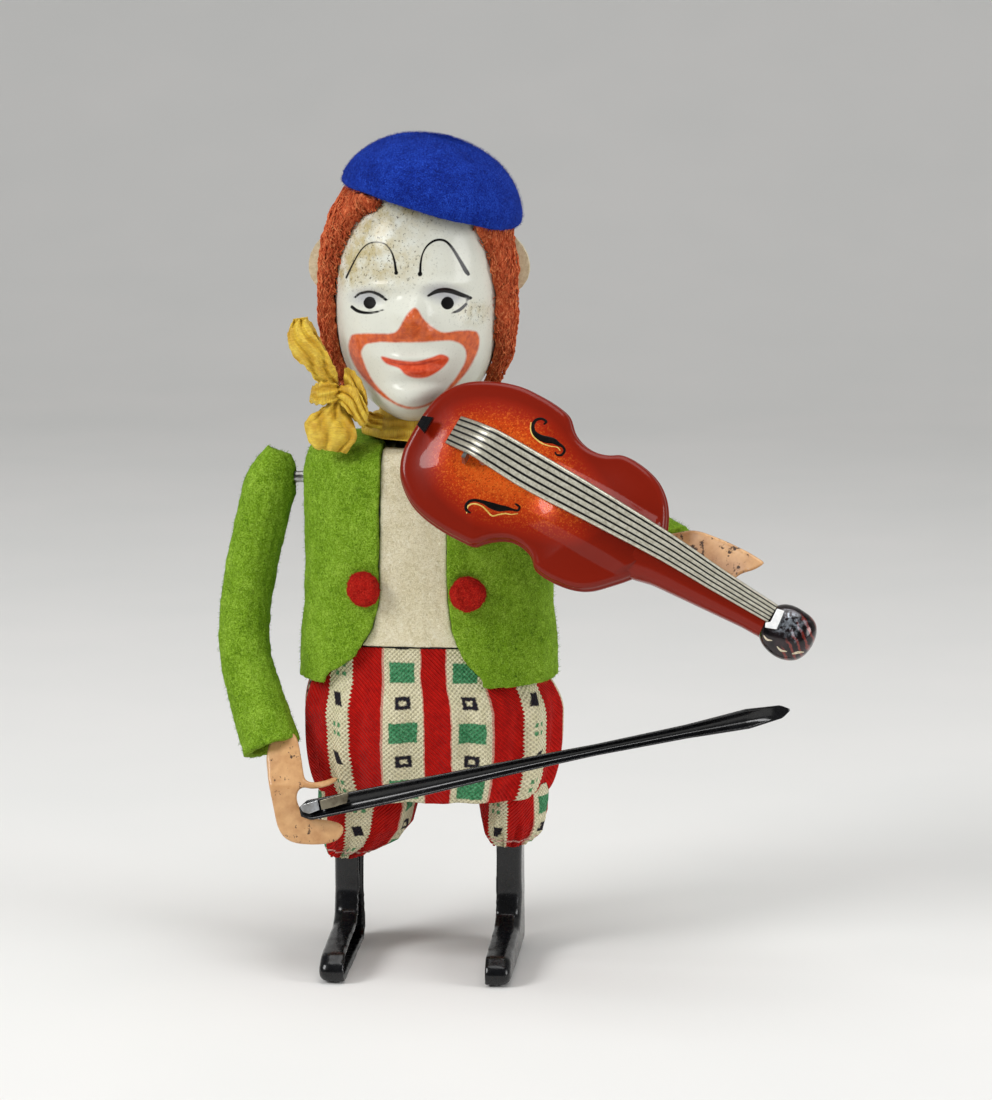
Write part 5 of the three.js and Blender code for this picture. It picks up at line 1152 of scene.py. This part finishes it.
def ribbon_strip(rows, seed):
    """Points of one crinkled strip between two edges, and how far along and across it they are."""
    points, run, lane = [], [], []
    length = 0
    before = None
    for ax, ay, bx, by, depth in curve(rows, 14):
        a, b = at_depth(ax, ay, depth), at_depth(bx, by, depth)
        centre = (a + b) / 2
        length += 0 if before is None else np.linalg.norm(centre - before)
        before = centre
        for s in np.linspace(0, 1, RIBBON_LANES):
            wave = math.sin(s * 15 + 2.2 * math.sin(length * 0.8 + seed) + seed)
            fine = math.sin(s * 31 + length * 1.7 + seed * 2)
            crown = 0.55 * math.sin(math.pi * s) + 0.34 * wave + 0.12 * fine
            point = a + (b - a) * s + BACK * crown
            if min(s, 1 - s) < 0.02:
                point = point + UP * 0.12 * math.sin(length * 5 + seed)
            points.append(point)
            run.append(length)
            lane.append(s * np.linalg.norm(b - a))
    return points, run, lane


def make_ribbon():
    points, faces, run, lane = [], [], [], []
    for number, rows in enumerate(RIBBON_STRIPS.values()):
        first = len(points)
        for store, extra in zip((points, run, lane), ribbon_strip(rows, number * 1.7)):
            store.extend(extra)
        faces += grid_faces((len(points) - first) // RIBBON_LANES, RIBBON_LANES, first=first)
    rows, columns = 22, 150
    faces += grid_faces(rows, columns, around=True, first=len(points))
    for r in range(rows):
        s = r / (rows - 1)
        for turn in circle(columns):
            fold = 0.28 * math.sin(s * 16 + 1.5 * math.sin(turn * 3) + 0.6 * turn)
            radius = BAND_INSIDE_RADIUS + BAND_SLOPE * s + fold + 0.12 * math.sin(turn * 11)
            height = BAND_TOP - BAND_SLOPE * s + 0.5 * fold + 0.3 * math.sin(turn * 2 + 1)
            x, y = HEAD_X * 0.6 + radius * math.cos(turn), radius * math.sin(turn)
            points.append((x, y, height))
            run.append(turn * 8)
            lane.append(s * 3.4)
    obj = piece("neck_ribbon_cloth", points, faces, "ribbon")
    mark(obj, run=run, lane=lane)
    shelled(obj, 0.14)
    stands(obj, "gold_ribbon", "neck_ribbon")


# Violin: pressed tin shells with a sunburst, a printed strip of strings and a plated scroll

VIOLIN_O = np.array([1.9, -15.0, 74.7]) + 0.684 * VIOLIN_V
VIOLIN_MIDDLE = np.array([15.996, 0])
NECK_START, NECK_END, SCROLL_START = 33.596, 49.196, 51.7
ARCH_REACH, BACK_LEVEL = 6.5, -3.8
# Outline of the body on each side of its middle line: along and across
UPPER_SIDE = [
    (-2.6, 1.5), (-2.0, 4.6), (0, 7.6), (3.3, 9.7), (6.9, 10.9), (9.7, 11.1), (12.1, 11.05),
    (14.3, 10.7), (15.2, 10.2), (16.4, 9.0), (18.0, 8.25), (19.6, 8.0), (21.2, 8.2),
    (22.6, 8.75), (23.5, 9.4), (25.1, 9.6), (27.5, 9.35), (29.8, 8.6), (31.8, 7.1),
    (33.2, 5.2), (34.2, 3.0), (34.6, 1.5),
]
LOWER_SIDE = [
    (-2.6, 1.5), (-2.3, 4.6), (-1.0, 7.4), (1.7, 9.6), (4.4, 10.6), (8.0, 11.0), (11.2, 10.9),
    (12.6, 10.8), (13.3, 9.9), (14.5, 8.8), (16.0, 7.9), (17.5, 7.6), (19.2, 7.8),
    (20.6, 8.5), (21.3, 9.4), (23.1, 9.7), (25.4, 9.6), (27.6, 9.1), (29.4, 8.1),
    (31.2, 6.3), (32.9, 4.4), (34.0, 2.8), (34.6, 1.5),
]


def on_violin(u, v, n):
    """The point at a place along, across and above the violin's top."""
    u, v, n = np.broadcast_arrays(u, v, n)
    return VIOLIN_O + u[..., None] * VIOLIN_U + v[..., None] * VIOLIN_V + n[..., None] * VIOLIN_N


def violin_ring():
    """The body's outline as an even ring of places along and across."""
    ring = np.vstack([curve(UPPER_SIDE, 10), curve(LOWER_SIDE, 10)[::-1] * (1, -1)])
    lengths = arc_lengths(ring)
    even = np.linspace(0, lengths[-1], 360, endpoint=False)
    closed = np.vstack([ring, ring[:1]])
    ring = np.stack([np.interp(even, lengths, closed[:, k]) for k in (0, 1)], axis=1)
    for _ in range(5):
        ring = (np.roll(ring, 1, axis=0) + 2 * ring + np.roll(ring, -1, axis=0)) / 4
    return ring


def face_height(u, v, depth):
    """Height of the violin's face: a low arch, with the neck's ridge growing out of it."""
    flank = np.clip((4.7 - np.abs(v + 0.3)) / 1.7, 0, 1)
    return 0.95 * smooth_step(depth / ARCH_REACH) + 0.85 * smooth_step((u - 15.5) / 6) * flank ** 0.8


# Side of the body from the middle of its back to the edge of its face: inset and height
SIDE_PROFILE = [
    (0.9, -3.8), (0.45, -3.72), (0.14, -3.45), (0, -3.1), (0, -2.15), (-0.16, -2.05), (-0.2, -1.9),
    (-0.16, -1.75), (0, -1.65), (0, -0.8), (0.08, -0.5), (0.26, -0.24), (0.52, -0.07), (0.85, 0),
]


def make_violin_body():
    ring = violin_ring()
    ahead = np.roll(ring, -1, axis=0) - np.roll(ring, 1, axis=0)
    inward = np.stack([ahead[:, 1], -ahead[:, 0]], axis=1)
    inward /= np.linalg.norm(inward, axis=1)[:, None]
    if np.einsum("ij,ij->", VIOLIN_MIDDLE - ring, inward) < 0:
        inward = -inward
    places, heights = [], []

    def add(place, height):
        places.append(place)
        heights.append(np.broadcast_to(height, len(ring)))

    back = ring + inward * SIDE_PROFILE[0][0]
    for share in np.linspace(0.02, 1, 14)[:-1]:
        level = BACK_LEVEL - 0.25 * (1 - share ** 2)
        add(VIOLIN_MIDDLE + (back - VIOLIN_MIDDLE) * share, level)
    for inset, height in SIDE_PROFILE:
        add(ring + inward * inset, height)
    inner = ring + inward * SIDE_PROFILE[-1][0]
    for share in 1 - np.linspace(0, 0.985, 64)[1:]:
        place = VIOLIN_MIDDLE + (inner - VIOLIN_MIDDLE) * share
        add(place, face_height(*place.T, -area_distance(place, inner)))
    faces = grid_faces(len(places), len(ring), around=True, capped=True)
    places, heights = np.vstack(places), np.concatenate(heights)
    depth = -area_distance(places, ring)

    neck_u = np.linspace(30.5, SCROLL_START + 0.8, 50)[:, None]
    turns = circle(48)
    share = np.clip((neck_u - NECK_START) / (NECK_END - NECK_START), 0, 1)
    half = 3.1 - 1.0 * share + 0.5 * smooth_step((36.5 - neck_u) / 4)
    top, low = 1.0 - 0.1 * share, -4.6 + 1.4 * share
    across = -0.7 + half * power(np.cos(turns), 0.85)
    high = (top + low) / 2 + (top - low) / 2 * power(np.sin(turns), 0.8)
    along = np.broadcast_to(neck_u, across.shape)
    faces += grid_faces(len(neck_u), len(turns), around=True, capped=True, first=len(places))
    u = np.concatenate([places[:, 0], along.ravel()])
    v = np.concatenate([places[:, 1], across.ravel()])
    n = np.concatenate([heights, high.ravel()])
    obj = piece("violin_body", on_violin(u, v, n), faces, "violin")
    flipped(obj)

    off = np.hypot((places[:, 0] - 12) / 12.5, (places[:, 1] - 0.3) / 8.6)
    burst = 0.4 * (1 - depth / ARCH_REACH) + 0.75 * off ** 1.6 - 0.1
    burst = np.concatenate([np.where(heights < -0.6, 1.0, burst), np.full(along.size, 0.9)])
    ridge = smooth_step((u - 19) / 9)
    mark(obj, burst=np.clip(np.maximum(burst, ridge * 0.95), 0, 1))
    stands(obj, "violin_lacquer", "violin_top", "violin_back")


F_HOLES = [
    # pixels across and down in an enlarged part, half width
    [(548, 158, 3), (557, 148, 5), (540, 138, 5), (520, 143, 6), (509, 162, 7), (513, 186, 9),
     (532, 203, 12), (556, 212, 14), (582, 217, 12), (600, 228, 8), (616, 238, 5), (622, 252, 5),
     (611, 267, 5), (594, 266, 4), (588, 256, 3)],
    [(287, 474, 3), (273, 464, 6), (271, 446, 6), (286, 431, 6), (308, 429, 6), (335, 436, 8),
     (360, 447, 13), (388, 456, 14), (414, 458, 10), (436, 462, 5), (455, 465, 5), (461, 452, 5),
     (446, 441, 4)],
]
HOLE_RIMS = [
    [(503, 150, 2), (501, 172, 3), (507, 195, 3), (524, 214, 3), (546, 228, 3), (572, 236, 2),
     (596, 240, 2), (607, 252, 2)],
    [(273, 476, 2), (278, 450, 3), (299, 441, 3), (326, 449, 3), (347, 468, 3), (364, 484, 3),
     (386, 480, 3), (410, 476, 3), (432, 479, 2), (456, 476, 2)],
]
CROP_SCALE, CROP_LEFT, CROP_TOP = 3.564, 390, 380


def cropped(rows):
    """Rows of an enlarged part of the photograph, in the photograph's own pixels."""
    return np.asarray(rows, float) / CROP_SCALE + (CROP_LEFT, CROP_TOP, 0)


def stroke(name, rows, target, look, lift=0.03):
    """A thin raised line of paint laid on a piece along a line of the photograph."""
    rows = curve(rows, 5)
    tree = tree_of(bpy.data.objects[target])
    points = []
    lanes = np.linspace(-1, 1, 9)
    for k, (x, y, half) in enumerate(rows):
        ahead = rows[min(k + 1, len(rows) - 1), :2] - rows[max(k - 1, 0), :2]
        ahead = ahead / max(np.linalg.norm(ahead), 1e-6)
        side = np.array([-ahead[1], ahead[0]])
        for s in lanes:
            across, down = np.array([x, y]) + side * half * s
            hit = tree.ray_cast(Vector(EYE), Vector(ray(across, down)))[0]
            if hit is None:
                level = points[-1][1] if points else -16
                hit = tree.find_nearest(Vector(at_depth(across, down, level)))[0]
            points.append(np.array(hit) + BACK * (lift if abs(s) < 0.99 else -0.04))
    obj = piece(name, points, grid_faces(len(rows), len(lanes)), look)
    shelled(obj, 0.05)


NUT = [(777, 608.5), (784.5, 611), (776.5, 629.5), (765, 627.5), (765.5, 622.5), (770.5, 622)]
CRESCENTS = [
    [(763.5, 635.5, 0.5), (767, 639.5, 1.2), (772, 640.5, 0.5)],
    [(777, 646.5, 0.5), (781, 650.5, 1.3), (787, 651.5, 0.5)],
    [(792, 654, 0.6), (798, 652.5, 1.5), (804, 652, 0.5)],
]


def make_marks():
    """Painted lines on the violin and the scroll, the nut, and the pupils of the eyes."""
    for number, (hole, rim) in enumerate(zip(F_HOLES, HOLE_RIMS)):
        stroke("sound_hole_%d" % number, cropped(hole), "violin_body", "ink", 0.05)
        stroke("sound_hole_rim_%d" % number, cropped(rim), "violin_body", "gold")
    # The nut's near-white colour is a painted reflection
    nut = plate("nut_plate", NUT, on_violin(53, 0, 2), VIOLIN_N, (-0.5, 0.15), "nut", "figure")
    stands(nut, "string_print", "violin_nut")
    for side, (across, down, radius) in zip(("right", "left"), PUPILS):
        turns = np.linspace(-0.49, 0.49, 15) * math.pi
        rows = np.stack([across + radius * np.sin(turns), down + 0 * turns, radius * np.cos(turns)])
        stroke(side + "_pupil", rows.T, "face", "ink", 0.02)
    for number, line in enumerate(CRESCENTS):
        stroke("scroll_crescent_%d" % number, line, "scroll", "pale")


STRIP_ROWS = np.array([
    # along, height, half width, shift across
    [2.6, 1.5, 2.15, 1.15], [4.6, 2.75, 2.25, 1.2], [6.6, 3.75, 2.3, 1.25], [8.2, 4.15, 2.4, 1.25],
    [10.2, 4.15, 2.5, 1.2], [16, 3.75, 2.6, 1.1], [26, 3.05, 2.3, 1.2], [36, 2.3, 1.9, 1.15],
    [44, 1.8, 1.6, 0.75], [52.4, 1.5, 1.35, 0.45],
])


def make_strip():
    rows = curve(STRIP_ROWS, 26)
    lanes = np.linspace(-1, 1, 41)
    u, n, half, shift = (rows[:, k][:, None] for k in range(4))
    s = np.broadcast_to(lanes, (len(rows), len(lanes)))
    edge = np.clip((np.abs(s) - 0.86) / 0.14, 0, 1)
    ridges = 0.03 * np.cos(s * STRING_LINES * 2 * math.pi) * (np.abs(s) < 0.9)
    wave = 0.05 * np.sin(u * 0.9 + 1) * np.sin(u * 0.37)
    points = on_violin(u, shift + s * half, n - 0.25 * edge ** 2 - ridges + wave).reshape(-1, 3)
    obj = piece("string_strip_look", points, grid_faces(len(rows), len(lanes)), "strip")
    # tail: how far towards the strip's tail end a point lies, where shade is painted on the cream
    mark(obj, lane=s.ravel(), tail=np.clip(1.1 - (u + 0 * s).ravel() / 12, 0, 1))
    flipped(obj)
    shelled(obj, 0.3)
    stands(obj, "string_print", "string_strip")


# Outline of the scroll: half width in shares, and the share of its length
SCROLL_SHARES = [
    (0.45, 0), (0.66, 0.05), (0.88, 0.2), (1, 0.45), (0.95, 0.68), (0.74, 0.87), (0.4, 0.97), (0.02, 1),
]
SCROLL_WIDE, SCROLL_LONG, SCROLL_SINK = 3.6, 7.0, 0.7


def make_scroll():
    profile = np.clip(curve(SCROLL_SHARES, 8), 0.005, 1.02)
    wide, long = profile[:, :1] * SCROLL_WIDE, profile[:, 1:]
    turns = circle(72)
    dents = 1 - 0.05 * bell(long - 0.55, 0.12) * (1 + np.cos(turns * 5)) / 2
    u = SCROLL_START + long * SCROLL_LONG
    v = wide * np.cos(turns) * dents - 0.45
    n = wide * np.sin(turns) * 0.72 * dents - SCROLL_SINK
    faces = grid_faces(len(profile), len(turns), around=True, capped=True)
    obj = piece("scroll", on_violin(u, v, n).reshape(-1, 3), faces, "scroll")
    flipped(obj)
    stands(obj, "black_lacquer", "peg_head")


# Bow: a black folded channel with a pressed hollow along it

BOW_START = np.array([-17.4, -15.6, 22.3])
BOW_WAY = unit(np.array([0.947, -0.187, 0.26]))
BOW_LONG, BOW_HALF_WIDE, BOW_HALF_DEEP = 71.6, 1.38, 0.57
# Half widths in shares, by the share of the way along it
BOW_WIDTHS = [
    [0, 0.7], [0.04, 1], [0.2, 0.95], [0.42, 0.72], [0.62, 0.55], [0.8, 0.66], [0.92, 0.95],
    [0.985, 0.62], [1, 0.12],
]
# Cross-section of its channel: across, and height towards the front
BOW_PROFILE = np.array([
    (-1, -0.1), (-1, 0.72), (-0.92, 1), (-0.76, 0.96), (-0.62, 0.45), (-0.3, -0.1), (0, -0.2),
    (0.3, -0.1), (0.62, 0.45), (0.76, 0.96), (0.92, 1), (1, 0.72), (1, -0.1), (0.82, -0.8),
    (0.4, -1), (-0.4, -1), (-0.82, -0.8),
])
# The lips and the hollow, in points of the finer cross-section
BOW_FRONT = (6, 42)
# Plates in its near end, by their corners in the photograph's pixels
FROG_PLATES = [
    ("frog_plate", [(300, 807.5), (302.5, 804.5), (317.5, 800), (319.5, 810), (309, 814), (303, 812)],
     "steel"),
    ("frog_clip", [(319.5, 800.5), (331, 797), (349, 791.5), (347, 803), (334, 807), (321.5, 810)],
     "tarnish"),
]


def make_bow():
    """A folded channel: two lips in front of a hollow, narrowing and widening along the bow."""
    side = unit(np.cross(BOW_WAY, BACK))
    out = np.cross(side, BOW_WAY)
    ring = curve(BOW_PROFILE, 4, closed=True)
    along = np.linspace(0.022, 1, 170)[:, None]
    blunt = np.clip((along - 0.015) / 0.025, 0.2, 1) ** 0.5
    wide = BOW_HALF_WIDE * np.interp(along, *np.transpose(BOW_WIDTHS)) * blunt
    deep = BOW_HALF_DEEP * np.clip((1.01 - along) / 0.04, 0.3, 1)
    hollow = np.clip(np.minimum(0.97 - along, 2 * along - 0.05) / 0.05, 0, 1)
    across = wide * ring[:, 0] + 0.06 * np.sin(along * 9)
    order = np.arange(len(ring))
    front = (order > BOW_FRONT[0]) & (order < BOW_FRONT[1])
    height = ring[:, 1] + (1 - hollow) * front * (0.92 - ring[:, 1])
    points = (BOW_START + along * BOW_LONG * BOW_WAY)[:, None]
    points = points + across[..., None] * side + (deep * height)[..., None] * out
    faces = grid_faces(len(along), len(ring), around=True, capped=True)
    obj = piece("bow_stick_look", points.reshape(-1, 3), faces, "black", "bow_arm")
    flipped(obj)
    stands(obj, "black_lacquer", "bow_stick")
    start = BOW_START + out * 0.5
    for name, corners, look in FROG_PLATES:
        made = plate(name, corners, start, out, (-0.12, 0.12), look, "bow_arm")
    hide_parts("bow_frog")


def plate(name, outline, middle, normal, levels, look, body, voxel=0.09, rounds=2):
    """A plate with eased edges: an outline in the photograph's pixels, between two levels."""
    rows = []
    for height in reversed(levels):
        for across, down in outline:
            way = ray(across, down)
            rows.append(EYE + way * (((middle - EYE) @ normal + height) / (way @ normal)))
    faces = grid_faces(2, len(outline), around=True, capped=True)
    obj = piece(name, rows, faces, look, body)
    remeshed(obj, voxel, rounds)
    return obj


# Hands: flat, rounded, with the outlines of the photograph; the arms go on inside the sleeves
HANDS = {
    "right": [
        (271, 740), (265, 757), (266.5, 772), (270.5, 792), (275, 815), (279, 829), (285, 838),
        (295, 843), (309, 844.5), (324, 844), (335, 841), (341.5, 835), (343.5, 829), (340.5, 824),
        (330, 820.5), (318, 819), (309, 816.5), (303, 812), (298.5, 806), (296.5, 798),
        (298, 791), (303, 787.5), (312, 788.5), (322, 787.5), (331, 784.5), (337, 780.5),
        (334, 778.5), (324, 781.5), (313, 783), (305, 780.5), (302, 773), (299, 760), (291, 740),
    ],
    "left": [
        (664, 538), (678, 532.5), (690, 530.5), (701, 532), (717, 537.5), (735, 545.5), (751, 554),
        (763, 561.5), (762.5, 564.5), (754, 569.5), (742, 573.5), (732, 580), (716, 586), (698, 586),
        (680, 578), (664, 562),
    ],
}
# Where a hand begins and the arm's own end is cut: heights on the right, pixels on the left
RIGHT_HAND, RIGHT_CUT = 29.5, 32
LEFT_HAND, LEFT_CUT = 684, 672
HAND_LEVELS = (-1.35, 1.35)


def make_hands():
    for side, outline in HANDS.items():
        look = "flesh" if side == "right" else "worn_flesh"
        arm = refined(side + "_arm", look, "flesh_lacquer", 0.3, 4)
        points = points_of(arm.data)
        if side == "right":
            hand, inner = points[:, 2] < RIGHT_HAND, points[:, 2] < RIGHT_CUT
        else:
            hand, inner = seen(points)[:, 0] > LEFT_HAND, seen(points)[:, 0] > LEFT_CUT
        middle = points[hand].mean(axis=0)
        normal = np.linalg.svd(points[hand] - middle, full_matrices=False)[2][2]
        normal = normal * np.sign(normal @ BACK)
        if side == "right":
            middle = middle + normal
        cut = bmesh.new()
        cut.from_mesh(arm.data)
        cut.verts.ensure_lookup_table()
        bmesh.ops.delete(cut, geom=[cut.verts[k] for k in np.flatnonzero(inner)], context="VERTS")
        cut.to_mesh(arm.data)
        cut.free()
        outline = curve(outline, 4, closed=True)
        body = frame["nodes"][side + "_arm"]["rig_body"]
        made = plate(side + "_hand", outline, middle, normal, HAND_LEVELS, look, body, 0.22, 14)
        roughened(made, [(2.2, 0.05, 71)])
        if side == "right":
            points = points_of(made.data)
            points[:, 1] += 0.6 * np.clip(points[:, 2] - 26, 0, None)
            put_points(made.data, points)


def make_legs():
    for side in ("right", "left"):
        refined(side + "_leg", "black", "black_lacquer", 0.34, 26, [(2.5, 0.05, 81)])


# Metal parts keep their solids and take a finish; those not named here are steel
FINISHES = {
    "great_wheel": "brass", "second_wheel": "brass", "eccentric_weight": "brass",
    "body_shell": "tin", "mainspring": "blued", "head_back": "ivory", "tailpiece": "black",
}


def finish_solids():
    for node, obj in frame["nodes"].items():
        look = LOOKS[FINISHES.get(node, "steel")]
        if not obj.material_slots:
            obj.data.materials.append(look)
        for slot in obj.material_slots:
            slot.material = look


# Floor, backdrop and lights

FLOOR_HALF, FLOOR_SINK = 14.0, 0.00005
BEND = 0.5


def make_stage():
    """A pale floor that bends up into a backdrop, in metres."""
    look = Look("floor_paper", roughness=0.9, specular_ior_level=0.1)
    shade = look.ramp(look.noise(look.place(), 60, 2), 0.3, "eaeae8", 0.7, "eeedeb")
    profile = [(-FLOOR_HALF, 0), (-2.0, 0), (BEND, 0)]
    for turn in np.linspace(0.1, math.pi / 2, 14):
        profile.append((BEND + BEND * math.sin(turn), BEND - BEND * math.cos(turn)))
    profile.append((2 * BEND, 2.5))
    across = np.linspace(-FLOOR_HALF, FLOOR_HALF, 9)
    mesh = bpy.data.meshes.new("floor")
    points = [(x, y, z - FLOOR_SINK) for y, z in profile for x in across]
    mesh.from_pydata(points, [], grid_faces(len(profile), len(across)))
    mesh.shade_smooth()
    mesh.materials.append(look.made(base_color=shade))
    link("floor", mesh)


LIGHT_AIM = (0, 0, 55)


def make_light(name, place, size, energy):
    """A round light that shines on the middle of the figure."""
    light = bpy.data.lights.new(name, "AREA")
    light.shape = "DISK"
    light.size = size
    light.energy = energy
    obj = link(name, light)
    obj.location = Vector((np.array(place) + SHIFT) * MM)
    way = Vector((np.array(LIGHT_AIM) + SHIFT) * MM) - obj.location
    obj.rotation_euler = way.to_track_quat("-Z", "Y").to_euler()


# What the world gives, and the share of it that reflections show
WORLD_LIGHT, WORLD_REFLECTED = 0.34, 0.3


def make_lights():
    bpy.context.scene.view_settings.view_transform = "Standard"
    world = bpy.data.worlds.new("studio")
    bpy.context.scene.world = world
    world.use_nodes = True
    nodes, links = world.node_tree.nodes, world.node_tree.links
    back = nodes["Background"]
    back.inputs["Color"].default_value = (1, 1, 1, 1)
    dimmed = nodes.new("ShaderNodeMapRange")
    dimmed.inputs["To Min"].default_value = WORLD_LIGHT
    dimmed.inputs["To Max"].default_value = WORLD_LIGHT * WORLD_REFLECTED
    paths = nodes.new("ShaderNodeLightPath")
    links.new(paths.outputs["Is Glossy Ray"], dimmed.inputs["Value"])
    links.new(dimmed.outputs["Result"], back.inputs["Strength"])
    make_light("key_light", (-430, -330, 400), 0.28, 2.3)
    make_light("fill_light", (560, -200, 220), 0.3, 1.3)
    make_light("top_light", (60, -40, 520), 0.4, 1.1)


def main():
    make_camera()
    make_lights()
    make_stage()
    finish_solids()
    make_felts()
    make_beret()
    make_hair()
    make_face()
    make_seat()
    make_trouser_leg("right")
    make_trouser_leg("left")
    make_ribbon()
    make_violin_body()
    make_scroll()
    make_marks()
    make_strip()
    make_bow()
    make_hands()
    make_legs()


main()
